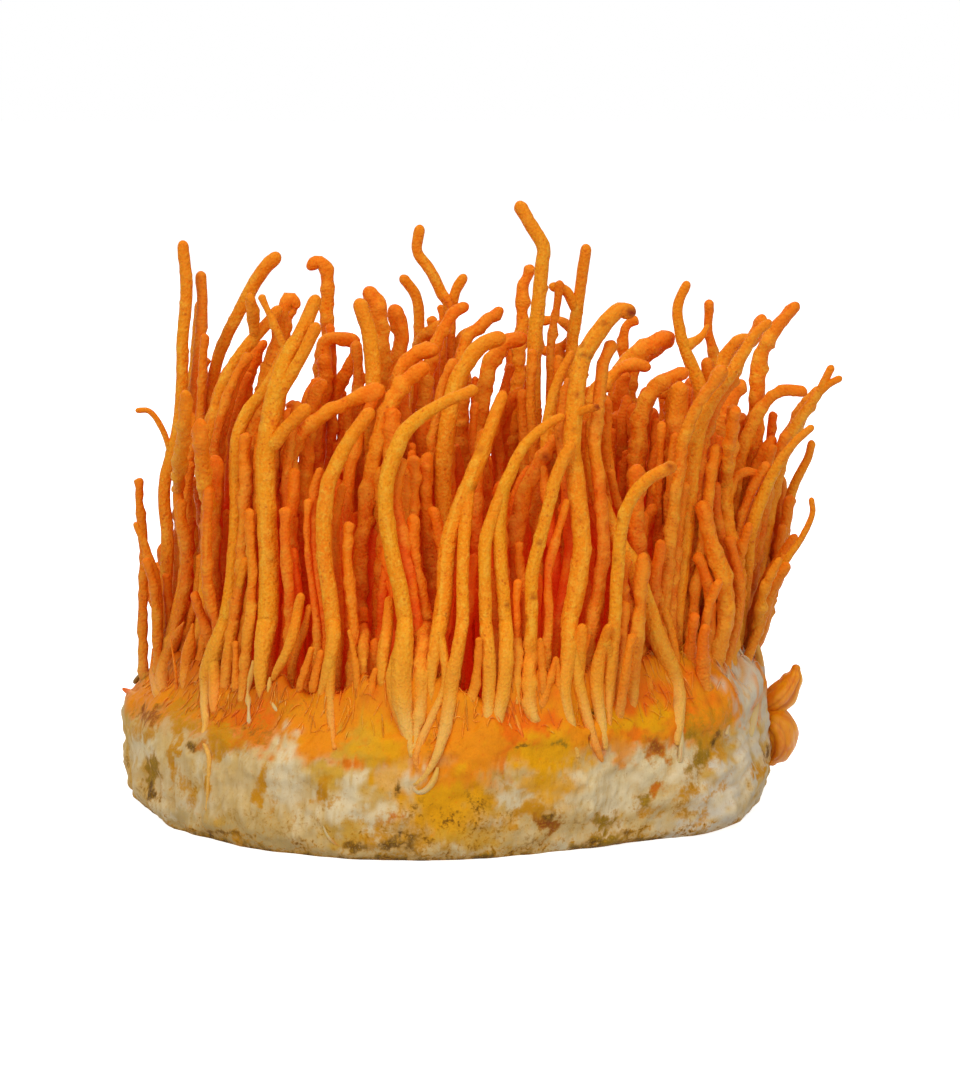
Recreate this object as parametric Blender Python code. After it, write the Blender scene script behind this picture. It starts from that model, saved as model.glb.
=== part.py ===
"""Cordyceps bunch: a round cake of grain bound by mycelium and the thicket of stems that grows from it.

All working sizes are in millimetres and are turned into metres when a mesh is made. The cake rests on its
flat underside at z = 0, the front is towards -Y and the ear-like lobes grow on the +X side.
"""

import math

import bmesh
import bpy
import numpy as np

MM = 0.001

# Cake of grain and mycelium
CAKE_HEIGHT = 15.0
CAKE_RADIUS = 43.3
CAKE_TOP_RADIUS = 40.2
CAKE_UNDERSIDE_RADIUS = 42.0
CAKE_LOWER_EDGE = 1.2
CAKE_UPPER_EDGE = 3.6
CAKE_SIDES = 44
# How far the side of the cake stands out or in, by compass turn in degrees from +X; 270 is the front
CAKE_OUTLINE = (
    (0, 0.2),
    (40, -0.4),
    (75, 0.6),
    (110, -0.5),
    (150, 0.6),
    (180, 0.2),
    (205, 0.1),
    (216, 1.4),
    (225, 1.2),
    (236, 1.6),
    (253, 1.3),
    (262, 0.9),
    (270, 0.3),
    (280, -0.8),
    (289, -1.7),
    (304, -1.9),
    (311, -0.6),
    (317, 0.9),
    (323, 1.7),
    (329, 1.4),
    (336, 0.6),
    (345, 0.0),
    (360, 0.2),
)

# Clear space that separate pieces keep
SEAM = 0.32
STEM_GAP = 0.42

# Ear-like lobes on the right side of the cake: middle, half sizes and lean in degrees
EAR_MIDDLES = ((45.3, -3.5, 13.7), (44.4, -4.2, 7.6))
EAR_HALF_SIZES = ((2.1, 3.1, 4.1), (2.3, 3.4, 3.9))
EAR_LEANS = (24.0, -16.0)
EAR_SIDES = 10
EAR_RINGS = 6

# Front view in which the stems' routes are given: how far off, how high and at what the eye looks
VIEW_DISTANCE = 450.0
VIEW_RISE = math.radians(8.5)
VIEW_AXIS = 4.4
VIEW_TARGET_HEIGHT = 33.3
VIEW_MIDDLE = 42.9

# Stems
FOOT_LEVEL = CAKE_HEIGHT + SEAM
FOOT_FLARE = 1.3
FOOT_OVERLAP = 0.62
FOOT_STEP = 0.03
LOWEST_BEND = 4.0
TIP_DOME = 0.75
TIP_SHARE = 0.3
THINNEST_RADIUS = 0.34
LEAD_SIDES = 6
MATE_SIDES = 5
LEAD_TOLERANCE = 0.45
MATE_TOLERANCE = 0.8
LONGEST_STRETCH = 23.0
NEARLY_SIDEWAYS = 0.96

# Which end of a side shoot or a leg is tied to the first stem of its tuft
TIED_ENDS = {"shoot": -1, "leg": 0}

# How the crowded stems settle beside each other
SETTLE_ROUNDS = 260
SETTLE_SHARE = 0.42
LONGEST_PUSH = 0.25
SETTLE_MEMORY = 0.995
SAMPLES_PER_STRETCH = 4
NEIGHBOUR_REACH = 5.0
NEIGHBOUR_ROUNDS = 20
TRACED_FREEDOM = (0.9, 7.0)
FREE_FREEDOM = (5.0, 8.0)
FORWARD_SHARE = 0.25
DEPTH_PREFERENCE = 0.35
DEPTH_NUDGE = 0.5
LIFT_SHARE = 0.15

# Height that the filling stems reach in the front view, as (across, up)
FILLING_HEIGHTS = (
    (-48, 27),
    (-43, 32),
    (-39, 44),
    (-34, 56),
    (-26, 62),
    (-14, 66),
    (-3, 66),
    (6, 61),
    (10, 66),
    (14, 60),
    (20, 61),
    (28, 66),
    (37, 66),
    (42, 61),
    (47, 54),
    (52, 42),
)
FILLING_FOOT_UP = 26.0
FILLING_WIDTHS = (1.8, 2.6)
FILLING_LEAN = (0.0, 0.16)
FILLING_REACH = 45.5
FILLING_WANDER = 1.2
FILLING_SHORTEST = 0.66
FILLING_TURNS = (math.radians(36), math.radians(-36), math.radians(108), math.radians(-108))
FILLING_FOOT_SPREAD = 2.2
FILLING_TIP_SPREADS = ((1.8, 4.2), (4.6, 8.0))
FILLING_SIDES = 4
FILLING_TOLERANCE = 1.1
FEET_IN_FIRST_RING = len(FILLING_TURNS)
SEED = 46


def stem(tip_width, width, tip_depth, foot_depth, *route):
    """A stem from its tip to its foot, by its widths, its depths and its route in the front view."""
    return {
        "kind": "stem",
        "widths": (tip_width, width),
        "depths": (tip_depth, foot_depth),
        "route": route,
    }


def shoot(width, depth_off, *route):
    """A side shoot from its tip, this far behind the tuft's first stem, to where it leaves that stem."""
    return {
        "kind": "shoot",
        "widths": (width, width),
        "depths": (depth_off, 0.0),
        "route": route,
    }


def leg(width, depth_off, *route):
    """A second leg of the tuft's first stem, from where it leaves that stem down to its own foot."""
    return {
        "kind": "leg",
        "widths": (width, width),
        "depths": (0.0, depth_off),
        "route": route,
    }


def tuft(name, filling, *members):
    """Stems that share one foot, with a number of filling stems behind the ones described."""
    return {"name": name, "filling": filling, "members": members}


def free_tuft(name, filling, across, depth):
    """A tuft of filling stems alone, by where its foot stands on the cake."""
    return {"name": name, "filling": filling, "members": (), "foot": (across, depth)}


# Front row, from left to right
FRONT_TUFTS = (
    tuft(
        "stem_left_leaning",
        0,
        stem(1.8, 2.0, -8, -16.5, (-23, 74.5), (-24.2, 72.9), (-26.9, 69.8), (-29.6, 65.7), (-31, 61.5),
             (-32.2, 55), (-32.3, 46), (-32.7, 38), (-33.3, 31), (-35.2, 23.6)),
    ),
    tuft(
        "stem_left_front",
        0,
        stem(1.7, 2.1, -15, -24, (-21.9, 69.1), (-24.2, 64.4), (-27.2, 60.3), (-28.5, 56), (-28.6, 46),
             (-29.2, 38), (-30.4, 30), (-31.6, 23.5)),
    ),
    tuft(
        "stem_left_forked",
        0,
        stem(2.0, 2.9, -17, -28.5, (-17.9, 75.9), (-19.9, 71.1), (-22.2, 67.1), (-23.4, 62.1), (-24.4, 55.6),
             (-24.5, 48.9), (-24, 38.1), (-24.4, 30), (-25.3, 22.5)),
        shoot(1.8, -1.5, (-17.8, 72.2), (-19.5, 68.4), (-21.4, 65), (-23.3, 61.5)),
        shoot(2.0, -2.5, (-19.1, 61), (-21.9, 58.3), (-24.4, 55)),
        stem(1.2, 1.5, -30, -29, (-19.8, 35.8), (-20.7, 31.3), (-22.1, 27.3), (-23.3, 23.5)),
    ),
    tuft(
        "stem_front_curved",
        0,
        stem(1.9, 2.3, -25, -33.5, (-10.5, 60.6), (-12.9, 57.6), (-15, 53.8), (-16.4, 49.5), (-16.7, 43),
             (-15.9, 35.5), (-15.3, 29), (-16, 20.5)),
        stem(1.2, 1.7, -24, -29, (-14.2, 50.6), (-15.3, 44.8), (-14.9, 37), (-14.5, 30), (-14.5, 23)),
    ),
    tuft(
        "stem_front_crooked",
        0,
        stem(1.6, 2.3, -24, -37.2, (3.6, 63.7), (0.3, 62.4), (-2.6, 60.8), (-5.7, 58), (-7.6, 53.6),
             (-8.3, 48.4), (-7.4, 41.5), (-6.1, 35.4), (-5.4, 28.6), (-6.2, 17)),
        stem(1.4, 1.8, -31, -35, (-8, 35.4), (-8.4, 29), (-8.6, 22)),
    ),
    tuft(
        "stem_front_split",
        0,
        stem(1.6, 2.5, -21, -38, (7.5, 63), (5.7, 58.3), (3.8, 53.2), (1.8, 48), (0.1, 42), (-0.5, 35.4),
             (-1.7, 27.3), (-2.9, 16)),
        leg(1.8, 0.5, (3.4, 51), (2.7, 46), (2.1, 40), (2, 31), (1.7, 24), (0.6, 18)),
    ),
    tuft(
        "stem_front_arched",
        0,
        stem(1.2, 1.9, -24, -36.5, (15.7, 60.2), (13.2, 58.7), (10.5, 56.3), (8.7, 52.9), (7.4, 49),
             (7, 42.5), (7.6, 35.4), (8, 29), (7.5, 17)),
        leg(1.8, 0.5, (7.6, 50.5), (6.3, 47.5), (5.2, 43), (5.1, 34), (5.4, 24.6), (5.4, 18)),
    ),
    tuft(
        "stem_front_slender",
        0,
        stem(1.8, 1.8, -27, -35.5, (16.7, 56.2), (15.2, 53.3), (13.9, 49.3), (12.6, 43.5), (11.4, 38.5),
             (11.3, 31), (11.1, 24), (12.2, 17.5)),
    ),
    tuft(
        "stem_centre_thick",
        0,
        stem(2.4, 2.7, -19, -34.5, (24.6, 74.3), (23, 74.4), (20.8, 72), (18.3, 68), (17.3, 62), (16.8, 56),
             (17.4, 49.5), (18, 43), (17.4, 37), (15.9, 29.3), (16, 20)),
        shoot(1.2, -2.2, (20.2, 61.4), (19, 61.2), (17.2, 60.6)),
        stem(1.6, 1.9, -33, -33, (18.2, 31.5), (18, 27), (17.9, 22)),
    ),
    tuft(
        "stem_centre_leg",
        0,
        stem(1.5, 2.6, -21.5, -27.5, (19.2, 59.5), (19.4, 54.3), (20.5, 48.9), (22.9, 43.2), (25.2, 39.5),
             (27.3, 33.3), (29.2, 27.3), (30.3, 20)),
    ),
    tuft(
        "stem_front_right_arched",
        0,
        stem(1.9, 1.8, -29, -33.5, (30.3, 53.3), (27.3, 51.7), (25.1, 49.3), (23.7, 45.8), (23, 39.5),
             (22.7, 33), (22.2, 26), (21.7, 17)),
        stem(1.2, 1.8, -33.5, -34, (21.5, 31.7), (20.2, 27.9), (19.9, 23), (20, 17)),
    ),
)

# Second row, behind the front stems
SECOND_TUFTS = (
    tuft(
        "tuft_front_inner_left",
        0,
        stem(1.7, 1.8, -15, -23.5, (-9.1, 64), (-12.9, 62.2), (-16.5, 60.3), (-19.9, 57), (-21.5, 52),
             (-21.5, 42), (-20.8, 32), (-20, 24)),
        stem(1.4, 1.7, -22, -27, (-20.6, 52.9), (-21.1, 44), (-20.6, 34), (-20.2, 24)),
        stem(1.9, 2.1, -14, -20, (-19, 57), (-19.2, 48), (-19.3, 38), (-19, 25)),
    ),
    tuft(
        "tuft_left_inner",
        1,
        stem(2.0, 2.2, -5, -14, (-21.9, 73.2), (-24, 67.1), (-26, 58), (-27, 46), (-27.5, 34), (-27.5, 25)),
        stem(1.5, 1.7, -12, -17, (-27.1, 54.3), (-27.1, 42), (-27, 32), (-27, 24)),
    ),
    tuft(
        "tuft_front_inner_centre",
        0,
        stem(1.3, 1.6, -27, -31, (-4.9, 46.4), (-4.3, 40), (-3, 34), (-3.4, 27.3), (-3.5, 20)),
        stem(1.5, 1.7, -24, -29, (-2, 47.3), (-0.6, 42.8), (0.2, 32), (0, 22)),
        stem(1.4, 1.6, -18, -26, (-2.6, 54.9), (-3.2, 47.5), (-2.1, 40), (-1.8, 30), (-1.8, 22)),
        stem(1.6, 1.8, -21, -28, (-4.7, 54.3), (-4.8, 46), (-4.4, 36), (-4.4, 24)),
    ),
    tuft(
        "tuft_front_inner_bent",
        0,
        stem(1.9, 1.9, -13, -24, (-3.2, 66.7), (-5.6, 65.1), (-7.6, 62), (-9.5, 56.3), (-11.2, 47), (-12, 37),
             (-11.6, 24)),
        stem(1.9, 2.0, -16, -25, (-7.1, 60.8), (-7.6, 52), (-8.6, 42), (-8.6, 32), (-9, 24)),
        stem(1.2, 1.4, -26, -28, (-11.1, 34), (-11, 28.6), (-11, 23)),
    ),
    tuft(
        "stem_centre_bright",
        0,
        stem(2.3, 2.5, -13, -24, (7.1, 70.7), (4.7, 69.8), (2.7, 67.6), (0.9, 63.8), (-0.3, 56), (-0.4, 46),
             (0.6, 34), (1.5, 23)),
    ),
    tuft(
        "tuft_centre_slanting",
        1,
        stem(1.9, 2.2, -6, -16, (10, 70.5), (7.4, 69.4), (5.2, 65.6), (4.3, 60), (4.5, 50), (5.2, 38),
             (5.4, 24)),
        stem(1.5, 1.8, 0, -13, (7.1, 74.5), (4.7, 72.5), (2.3, 69.5), (1.8, 60), (2.6, 46), (4, 34), (4.4, 24)),
    ),
    tuft(
        "tuft_front_inner_paired",
        0,
        stem(1.6, 1.9, -20, -30, (15.2, 57.4), (12.5, 54.6), (10.3, 50.4), (9.3, 45), (9.1, 36), (9.2, 22)),
        stem(1.4, 1.7, -17, -28, (14.5, 56.3), (13, 52.5), (12, 48), (12.2, 42), (11.8, 32), (11.2, 22)),
    ),
    tuft(
        "stem_centre_pointed",
        0,
        stem(1.2, 2.3, -15, -24.5, (16.8, 68.5), (15.3, 65.7), (14, 62), (13.3, 56), (14.2, 48), (15.4, 39),
             (15.2, 30), (14.6, 22)),
    ),
    tuft(
        "stem_tallest",
        0,
        stem(2.0, 2.1, -8, -14.5, (9.9, 88.4), (11.4, 85.9), (12.9, 83.2), (12.7, 80.5), (12.3, 75.5),
             (11.8, 69.8), (11.7, 62), (12, 50), (12, 38), (11.8, 25)),
    ),
    tuft(
        "stem_centre_left_tall",
        0,
        stem(2.4, 2.3, -10, -18, (-11.8, 75.2), (-10.6, 71.5), (-10, 66), (-10.2, 57), (-9.8, 47), (-9.6, 36),
             (-9.8, 25)),
    ),
    tuft(
        "tuft_centre_right_inner",
        1,
        stem(1.3, 1.7, -12, -19.5, (21.5, 62.4), (21.4, 56), (21.3, 46), (20.8, 36), (20.4, 25)),
        stem(1.6, 1.8, -3, -14, (26.7, 66.7), (24.6, 67.1), (21.7, 65.3), (19.2, 62), (18.5, 54), (18.6, 42),
             (19, 30), (19.2, 24)),
    ),
    tuft(
        "tuft_right_inner",
        0,
        stem(2.0, 2.2, -9, -16, (31.9, 66), (28.4, 64.4), (26.4, 60.8), (25.6, 54.9), (25, 46), (24.4, 36),
             (24.2, 25)),
        stem(1.3, 1.6, -17, -20, (28, 48.1), (26.4, 45.2), (25.3, 39), (25, 31), (25, 24)),
    ),
    tuft(
        "stem_right_thick",
        0,
        stem(1.3, 2.5, -12, -20.5, (43.3, 72.9), (41.4, 71.1), (38.8, 66.7), (35.4, 62.1), (33.6, 58),
             (32.6, 51), (32.1, 44.5), (31.2, 36), (30.6, 29.3), (30.2, 23)),
    ),
    tuft(
        "tuft_right_front",
        0,
        stem(1.9, 2.3, -16.5, -18, (33.9, 48.4), (35.3, 43.8), (37.2, 39), (37.9, 33), (37.2, 26), (36.9, 20)),
        stem(0.8, 1.2, -20.5, -20.5, (36.8, 37.9), (35.2, 34.4), (34.5, 30), (34.9, 22)),
    ),
)

# Right side, leaning out over the rim of the cake
RIGHT_TUFTS = (
    tuft(
        "tuft_right_upright",
        0,
        stem(1.3, 1.8, -10, -12.5, (38.9, 61.3), (38.2, 56), (37.3, 51), (38.1, 45), (39.1, 39.4), (39.3, 32),
             (38.8, 23)),
        shoot(1.2, -1.6, (40.6, 45.2), (39.9, 42.7), (39.2, 39.5)),
        stem(1.9, 2.1, -5, -9.5, (39.9, 64.3), (38, 61.4), (36.5, 56.5), (35.6, 50), (35.2, 40), (35.6, 28)),
    ),
    tuft(
        "stem_right_long",
        0,
        stem(1.0, 1.8, -11, -7, (49.1, 58.6), (46.9, 56.7), (44.5, 53.3), (42.5, 49), (41, 44), (40.4, 38),
             (40.1, 31), (40, 23)),
        stem(0.8, 1.1, -9, -4.5, (49.1, 48.8), (49.2, 46.8), (47.7, 43.5), (45.4, 40.1), (43.5, 36.5),
             (42.3, 30), (41.2, 22)),
        stem(0.9, 1.0, -8.5, -4.5, (44.1, 35.6), (43.2, 33), (42, 27), (41, 22)),
    ),
    tuft(
        "stem_right_outermost",
        0,
        stem(1.2, 2.1, -4, 1.5, (51.8, 66.6), (50.2, 63.6), (48, 60.6), (46, 57), (44.3, 51.5), (42.9, 44),
             (41.5, 34), (40.6, 24)),
        shoot(1.1, -0.6, (52.9, 65.2), (51.4, 64.4), (49.6, 62.8)),
    ),
    tuft(
        "stem_right_rear_long",
        3,
        stem(1.2, 1.7, 1, 6.5, (49.1, 56.6), (48.6, 54.4), (47.2, 51.6), (46.1, 48), (45.1, 43), (43.8, 36.5),
             (42.4, 29), (41, 22)),
    ),
    tuft(
        "tuft_right_crossing",
        0,
        stem(1.8, 2.2, 0, -3.5, (46.9, 74.8), (44.8, 72.5), (42.6, 68.8), (41.6, 63), (40.8, 54), (38.6, 42),
             (37, 28)),
        stem(1.5, 1.6, -3.5, -5, (48, 63.6), (45.6, 63.9), (42.9, 62), (41.1, 59), (39.8, 54.3), (38, 44),
             (36.6, 30)),
    ),
    tuft(
        "stem_right_tall",
        3,
        stem(1.4, 2.2, 2, 1, (32.2, 77.9), (31, 75.2), (31.2, 72), (32.2, 68.6), (34.3, 63), (35, 54),
             (34, 42), (32.8, 28)),
    ),
    tuft(
        "tuft_right_rear",
        1,
        stem(1.1, 1.6, 10, 11, (35.2, 75.5), (35.3, 71.5), (36.2, 67), (36.2, 56), (35.6, 42), (35, 28)),
        stem(1.6, 2.2, 14, 13, (42.3, 73.4), (41.5, 70.8), (38.8, 68), (37.6, 62), (37.4, 50), (37, 38),
             (36.4, 28)),
    ),
    tuft(
        "stem_right_round_tip",
        2,
        stem(2.3, 2.1, -4, -11.5, (30.3, 64.1), (30.3, 58), (29.6, 51), (29.2, 43), (29, 34), (29, 25)),
    ),
    tuft(
        "tuft_right_middle",
        3,
        stem(2.3, 2.3, 3, -5.5, (30.3, 70.7), (28, 69.7), (25.4, 68), (23.3, 65.4), (22.4, 58), (22, 46),
             (21.6, 34), (21.4, 26)),
        stem(1.4, 1.6, -3, -8, (24, 62.4), (23.6, 54), (23.2, 44), (22.8, 34), (22.4, 26)),
    ),
    tuft(
        "tuft_right_hooked",
        4,
        stem(1.1, 1.6, 8, 5, (25.6, 73.2), (24.2, 71.8), (23.9, 68.6), (24.5, 58), (25, 45), (25.2, 30)),
    ),
)

# Middle of the thicket
MIDDLE_TUFTS = (
    tuft(
        "stem_centre_upright",
        2,
        stem(1.7, 1.9, 2, 3, (18.7, 82.9), (18.1, 78.5), (17.6, 74.8), (16.9, 70.5), (16.5, 60), (16.8, 46),
             (17.2, 32), (17.2, 25)),
        shoot(1.5, -1.0, (14.2, 77.6), (16, 77), (17.4, 74.2)),
    ),
    tuft(
        "tuft_centre_looped",
        4,
        stem(1.4, 1.7, 4, 0, (11.3, 80.2), (10.2, 77), (10.2, 72.5), (9.5, 67), (8.8, 56), (8.4, 42), (8, 28)),
    ),
    tuft(
        "stem_centre_twin",
        3,
        stem(1.6, 1.7, 6, 8, (-3.7, 85.5), (-4.1, 82.4), (-2.4, 80), (-0.9, 77), (0.3, 73.8), (0.1, 62),
             (-0.4, 48), (0, 34), (0, 26)),
        shoot(1.6, -0.6, (2.1, 78.8), (1, 76.8), (0.3, 73)),
    ),
    tuft(
        "stem_centre_bowed",
        4,
        stem(1.7, 1.7, 11, 16, (-5.9, 78.7), (-4.2, 76.2), (-3.8, 72), (-4.4, 62), (-5, 48), (-5.2, 36),
             (-5.2, 27)),
    ),
    tuft(
        "tuft_centre_knotted",
        2,
        stem(2.3, 2.2, 3, -1, (-7.4, 74.5), (-6.4, 70.8), (-7, 66.5), (-8.5, 56), (-9, 44), (-9, 26)),
        stem(2.2, 2.1, -3, -4.5, (-10.3, 77), (-9.2, 74.5), (-8.9, 68), (-9.6, 58), (-10.8, 46), (-11.4, 34),
             (-11.4, 26)),
    ),
    tuft(
        "tuft_centre_inner",
        2,
        stem(1.5, 1.8, -1, -8.5, (2.5, 74.8), (0.6, 73.6), (-1.2, 70.2), (-3.2, 63), (-3.9, 52), (-3.6, 40),
             (-3.4, 27)),
        stem(1.9, 2.0, -8, -11.5, (-1.7, 69.1), (-4.8, 68), (-6.9, 65.4), (-8, 58), (-7.4, 48), (-6, 36),
             (-5.2, 27)),
    ),
    tuft(
        "tuft_left_hooked",
        4,
        stem(1.9, 1.5, 9, 8, (-18.4, 80.2), (-17.2, 80.7), (-16.2, 79), (-16, 74), (-16.2, 62), (-16.8, 48),
             (-17, 36), (-17, 27)),
    ),
    tuft(
        "tuft_left_middle",
        4,
        stem(1.7, 1.8, 3, -1, (-20.7, 75.9), (-22, 73.4), (-22.8, 64), (-23, 52), (-23, 38), (-23, 26)),
    ),
    tuft(
        "tuft_centre_left_low",
        3,
        stem(1.7, 1.9, -6, -9, (-17.2, 64.7), (-18.8, 61.5), (-18.6, 50), (-18, 38), (-17.6, 27)),
    ),
)

# Left side
LEFT_TUFTS = (
    tuft(
        "stem_left_tall",
        0,
        stem(1.8, 1.9, -1, -4.5, (-35.7, 83.2), (-35.2, 77), (-35.8, 69.5), (-36.3, 59), (-38.2, 51),
             (-37.8, 43), (-38.6, 33), (-39, 24)),
        shoot(0.9, -0.5, (-41.8, 60.9), (-40.2, 60.8), (-38.5, 58.5), (-37.2, 55)),
        stem(1.4, 1.8, -10, -10.5, (-36.4, 51.8), (-36.2, 47), (-35.3, 41), (-36, 34.5), (-37.4, 27),
             (-37.7, 22)),
        stem(0.9, 1.6, -7.5, -9, (-42.1, 45.6), (-40.7, 42.3), (-39.3, 37), (-39.2, 28), (-38.9, 22)),
    ),
    tuft(
        "stem_left_second",
        4,
        stem(1.8, 1.9, 4, 3, (-33.4, 75.2), (-33.9, 69), (-34.8, 58), (-34.9, 51), (-33.8, 43), (-33.5, 34),
             (-33.4, 26)),
    ),
    tuft(
        "stem_left_long_hook",
        6,
        stem(2.2, 1.9, 8, 11, (-23.2, 81.7), (-25.2, 79.6), (-28.2, 74.2), (-30.8, 68.4), (-32.2, 61),
             (-32.6, 50), (-31.6, 38), (-30.6, 27)),
    ),
)

# Back of the thicket
BACK_TUFTS = (
    free_tuft("tuft_back_left", 7, -25.0, 17.5),
    free_tuft("tuft_back_left_rim", 7, -27.5, 27.0),
    free_tuft("tuft_back_centre_left", 8, -13.5, 20.0),
    free_tuft("tuft_back_left_outer", 7, -15.0, 33.0),
    free_tuft("tuft_back_centre", 8, -2.0, 25.5),
    free_tuft("tuft_back_outer", 7, -1.5, 37.0),
    free_tuft("tuft_back_centre_right", 8, 9.5, 14.0),
    free_tuft("tuft_back_outer_right", 8, 11.5, 30.5),
    free_tuft("tuft_back_right", 8, 20.5, 16.0),
    free_tuft("tuft_back_right_outer", 7, 23.0, 28.0),
    free_tuft("tuft_back_right_rim", 7, 31.0, 20.0),
)

# Colours of the fresh skin: ochre where it faces out, deeper orange inside the thicket
SKIN_COLOURS = {
    "front": (0.72, 0.27, 0.03),
    "inner": (0.66, 0.17, 0.015),
}
CAKE_COLOUR = (0.62, 0.46, 0.24)
EAR_COLOUR = (0.70, 0.20, 0.01)


def clear_scene():
    for thing in list(bpy.data.objects):
        bpy.data.objects.remove(thing, do_unlink=True)


def skin_material(name, colour, roughness):
    material = bpy.data.materials.new(name)
    material.use_nodes = True
    shader = material.node_tree.nodes["Principled BSDF"]
    shader.inputs["Base Color"].default_value = (*colour, 1.0)
    shader.inputs["Roughness"].default_value = roughness
    shader.inputs["Metallic"].default_value = 0.0
    return material


def mesh_object(name, points, faces, material=None):
    """An object from points in millimetres, with outward faces and smooth shading."""
    mesh = bpy.data.meshes.new(name)
    mesh.from_pydata([tuple(point * MM) for point in points], [], faces)
    shape = bmesh.new()
    shape.from_mesh(mesh)
    bmesh.ops.recalc_face_normals(shape, faces=shape.faces)
    shape.to_mesh(mesh)
    shape.free()
    mesh.shade_smooth()
    mesh.set_sharp_from_angle(angle=math.radians(60))
    if material:
        mesh.materials.append(material)
    made = bpy.data.objects.new(name, mesh)
    bpy.context.scene.collection.objects.link(made)
    return made


def add_boolean(target, tool, operation):
    """Joins or cuts with a helper object, which stays out of the finished part."""
    tool.hide_render = True
    tool.display_type = "WIRE"
    modifier = target.modifiers.new(tool.name, "BOOLEAN")
    modifier.operation = operation
    modifier.solver = "EXACT"
    modifier.use_self = operation == "UNION"
    modifier.object = tool


def from_front_view(across, up, depth):
    """The place of a point that the front view shows at (across, up) and that lies at this depth."""
    sine = math.sin(VIEW_RISE)
    cosine = math.cos(VIEW_RISE)
    sideways = (across - VIEW_AXIS) / VIEW_DISTANCE
    upwards = (up - VIEW_MIDDLE) / VIEW_DISTANCE
    reach = (depth + VIEW_DISTANCE * cosine) / (cosine + upwards * sine)
    x = VIEW_AXIS + reach * sideways
    z = VIEW_TARGET_HEIGHT + VIEW_DISTANCE * sine + reach * (upwards * cosine - sine)
    return np.stack([x, depth + 0.0 * x, z], axis=-1)


def lengths_along(points):
    steps = np.linalg.norm(np.diff(points, axis=0), axis=1)
    return np.concatenate([[0.0], np.cumsum(steps)])


def at_lengths(points, lengths, wanted):
    return np.stack([np.interp(wanted, lengths, points[:, axis]) for axis in range(3)], axis=1)


def smooth_curve(points, per_stretch=8):
    """A curve with rounded turns through the points."""
    ends = np.vstack([2 * points[0] - points[1], points, 2 * points[-1] - points[-2]])
    share = np.linspace(0.0, 1.0, per_stretch, endpoint=False)[:, None]
    pieces = []
    for a, b, c, d in zip(ends, ends[1:], ends[2:], ends[3:]):
        bend = 2 * b + (c - a) * share
        bend = bend + (2 * a - 5 * b + 4 * c - d) * share**2
        bend = bend + (3 * b - a - 3 * c + d) * share**3
        pieces.append(0.5 * bend)
    return np.vstack([*pieces, points[-1:]])


def traced_route(member, lead_curve):
    """The route of a stem as a curve in space; side shoots and legs keep the depth of the stem they leave."""
    seen = np.array(member["route"], float)
    run = lengths_along(np.column_stack([seen, np.zeros(len(seen))]))
    depths = np.interp(run, (0.0, run[-1]), member["depths"])
    places = from_front_view(seen[:, 0], seen[:, 1], depths)
    if lead_curve is not None and member["kind"] != "stem":
        rising = lead_curve[::-1]
        depths = depths + np.interp(places[:, 2], rising[:, 2], rising[:, 1])
        places = from_front_view(seen[:, 0], seen[:, 1], depths)
    if member["kind"] != "shoot":
        foot = np.array([places[-1, 0], places[-1, 1], FOOT_LEVEL])
        if places[-1, 2] < FOOT_LEVEL + LOWEST_BEND:
            places = places[:-1]
        places = np.vstack([places, foot])
    return smooth_curve(places)


def thinned_line(curve, tolerance):
    """The fewest points of the curve that stay this close to it, with no stretch longer than the longest."""
    run = lengths_along(curve)
    kept = [0, len(curve) - 1]
    position = 0
    while position < len(kept) - 1:
        first, last = kept[position], kept[position + 1]
        inner = np.arange(first + 1, last)
        share = ((run[inner] - run[first]) / (run[last] - run[first]))[:, None]
        away = np.linalg.norm(curve[inner] - curve[first] * (1 - share) - curve[last] * share, axis=1)
        if len(inner) and away.max() > tolerance:
            kept.insert(position + 1, int(inner[away.argmax()]))
        elif len(inner) and run[last] - run[first] > LONGEST_STRETCH:
            kept.insert(position + 1, (first + last) // 2)
        else:
            position += 1
    return curve[kept]


def radii_along(line, widths):
    """A blunt tip, an even shank and a flared foot."""
    run = lengths_along(line)
    radii = 0.5 * np.interp(run / run[-1], (0.0, TIP_SHARE), widths)
    radii[-1] *= FOOT_FLARE
    return radii


def inside_rim(place, radius):
    """The same place, moved in where the foot would reach past the flat of the cake's top."""
    limit = CAKE_TOP_RADIUS - radius - SEAM
    away = math.hypot(place[0], place[1])
    factor = min(1.0, limit / away) if away else 1.0
    return np.array([place[0] * factor, place[1] * factor, place[2]])


def filling_stem(tuft_foot, count, chance):
    """One stem between the traced ones: it fans out of its tuft and stays below the outline."""
    width = chance.uniform(*FILLING_WIDTHS)
    turn = math.atan2(tuft_foot[1], tuft_foot[0]) + FILLING_TURNS[count % len(FILLING_TURNS)]
    way = np.array([math.cos(turn), math.sin(turn)])
    foot = tuft_foot + FILLING_FOOT_SPREAD * way
    lean = 1.0 + chance.uniform(*FILLING_LEAN)
    tip_spread = chance.uniform(*FILLING_TIP_SPREADS[min(1, count // len(FILLING_TURNS))])
    tip_across, tip_depth = tuft_foot * lean + tip_spread * way
    factor = min(1.0, FILLING_REACH / math.hypot(tip_across, tip_depth))
    highest = np.interp(tip_across * factor, *zip(*FILLING_HEIGHTS))
    up = FILLING_FOOT_UP + (highest - FILLING_FOOT_UP) * chance.uniform(FILLING_SHORTEST, 1.0)
    tip = from_front_view(np.array(tip_across * factor), np.array(up), tip_depth * factor)
    root = np.array([*foot, FOOT_LEVEL])
    middle = 0.5 * (tip + root)
    middle[:2] += 0.25 * (tip - root)[:2] + chance.uniform(-FILLING_WANDER, FILLING_WANDER, 2)
    curve = smooth_curve(np.array([tip, middle, root]))
    return {"kind": "filling", "widths": (0.85 * width, width), "curve": curve, "turn": turn}


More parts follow.
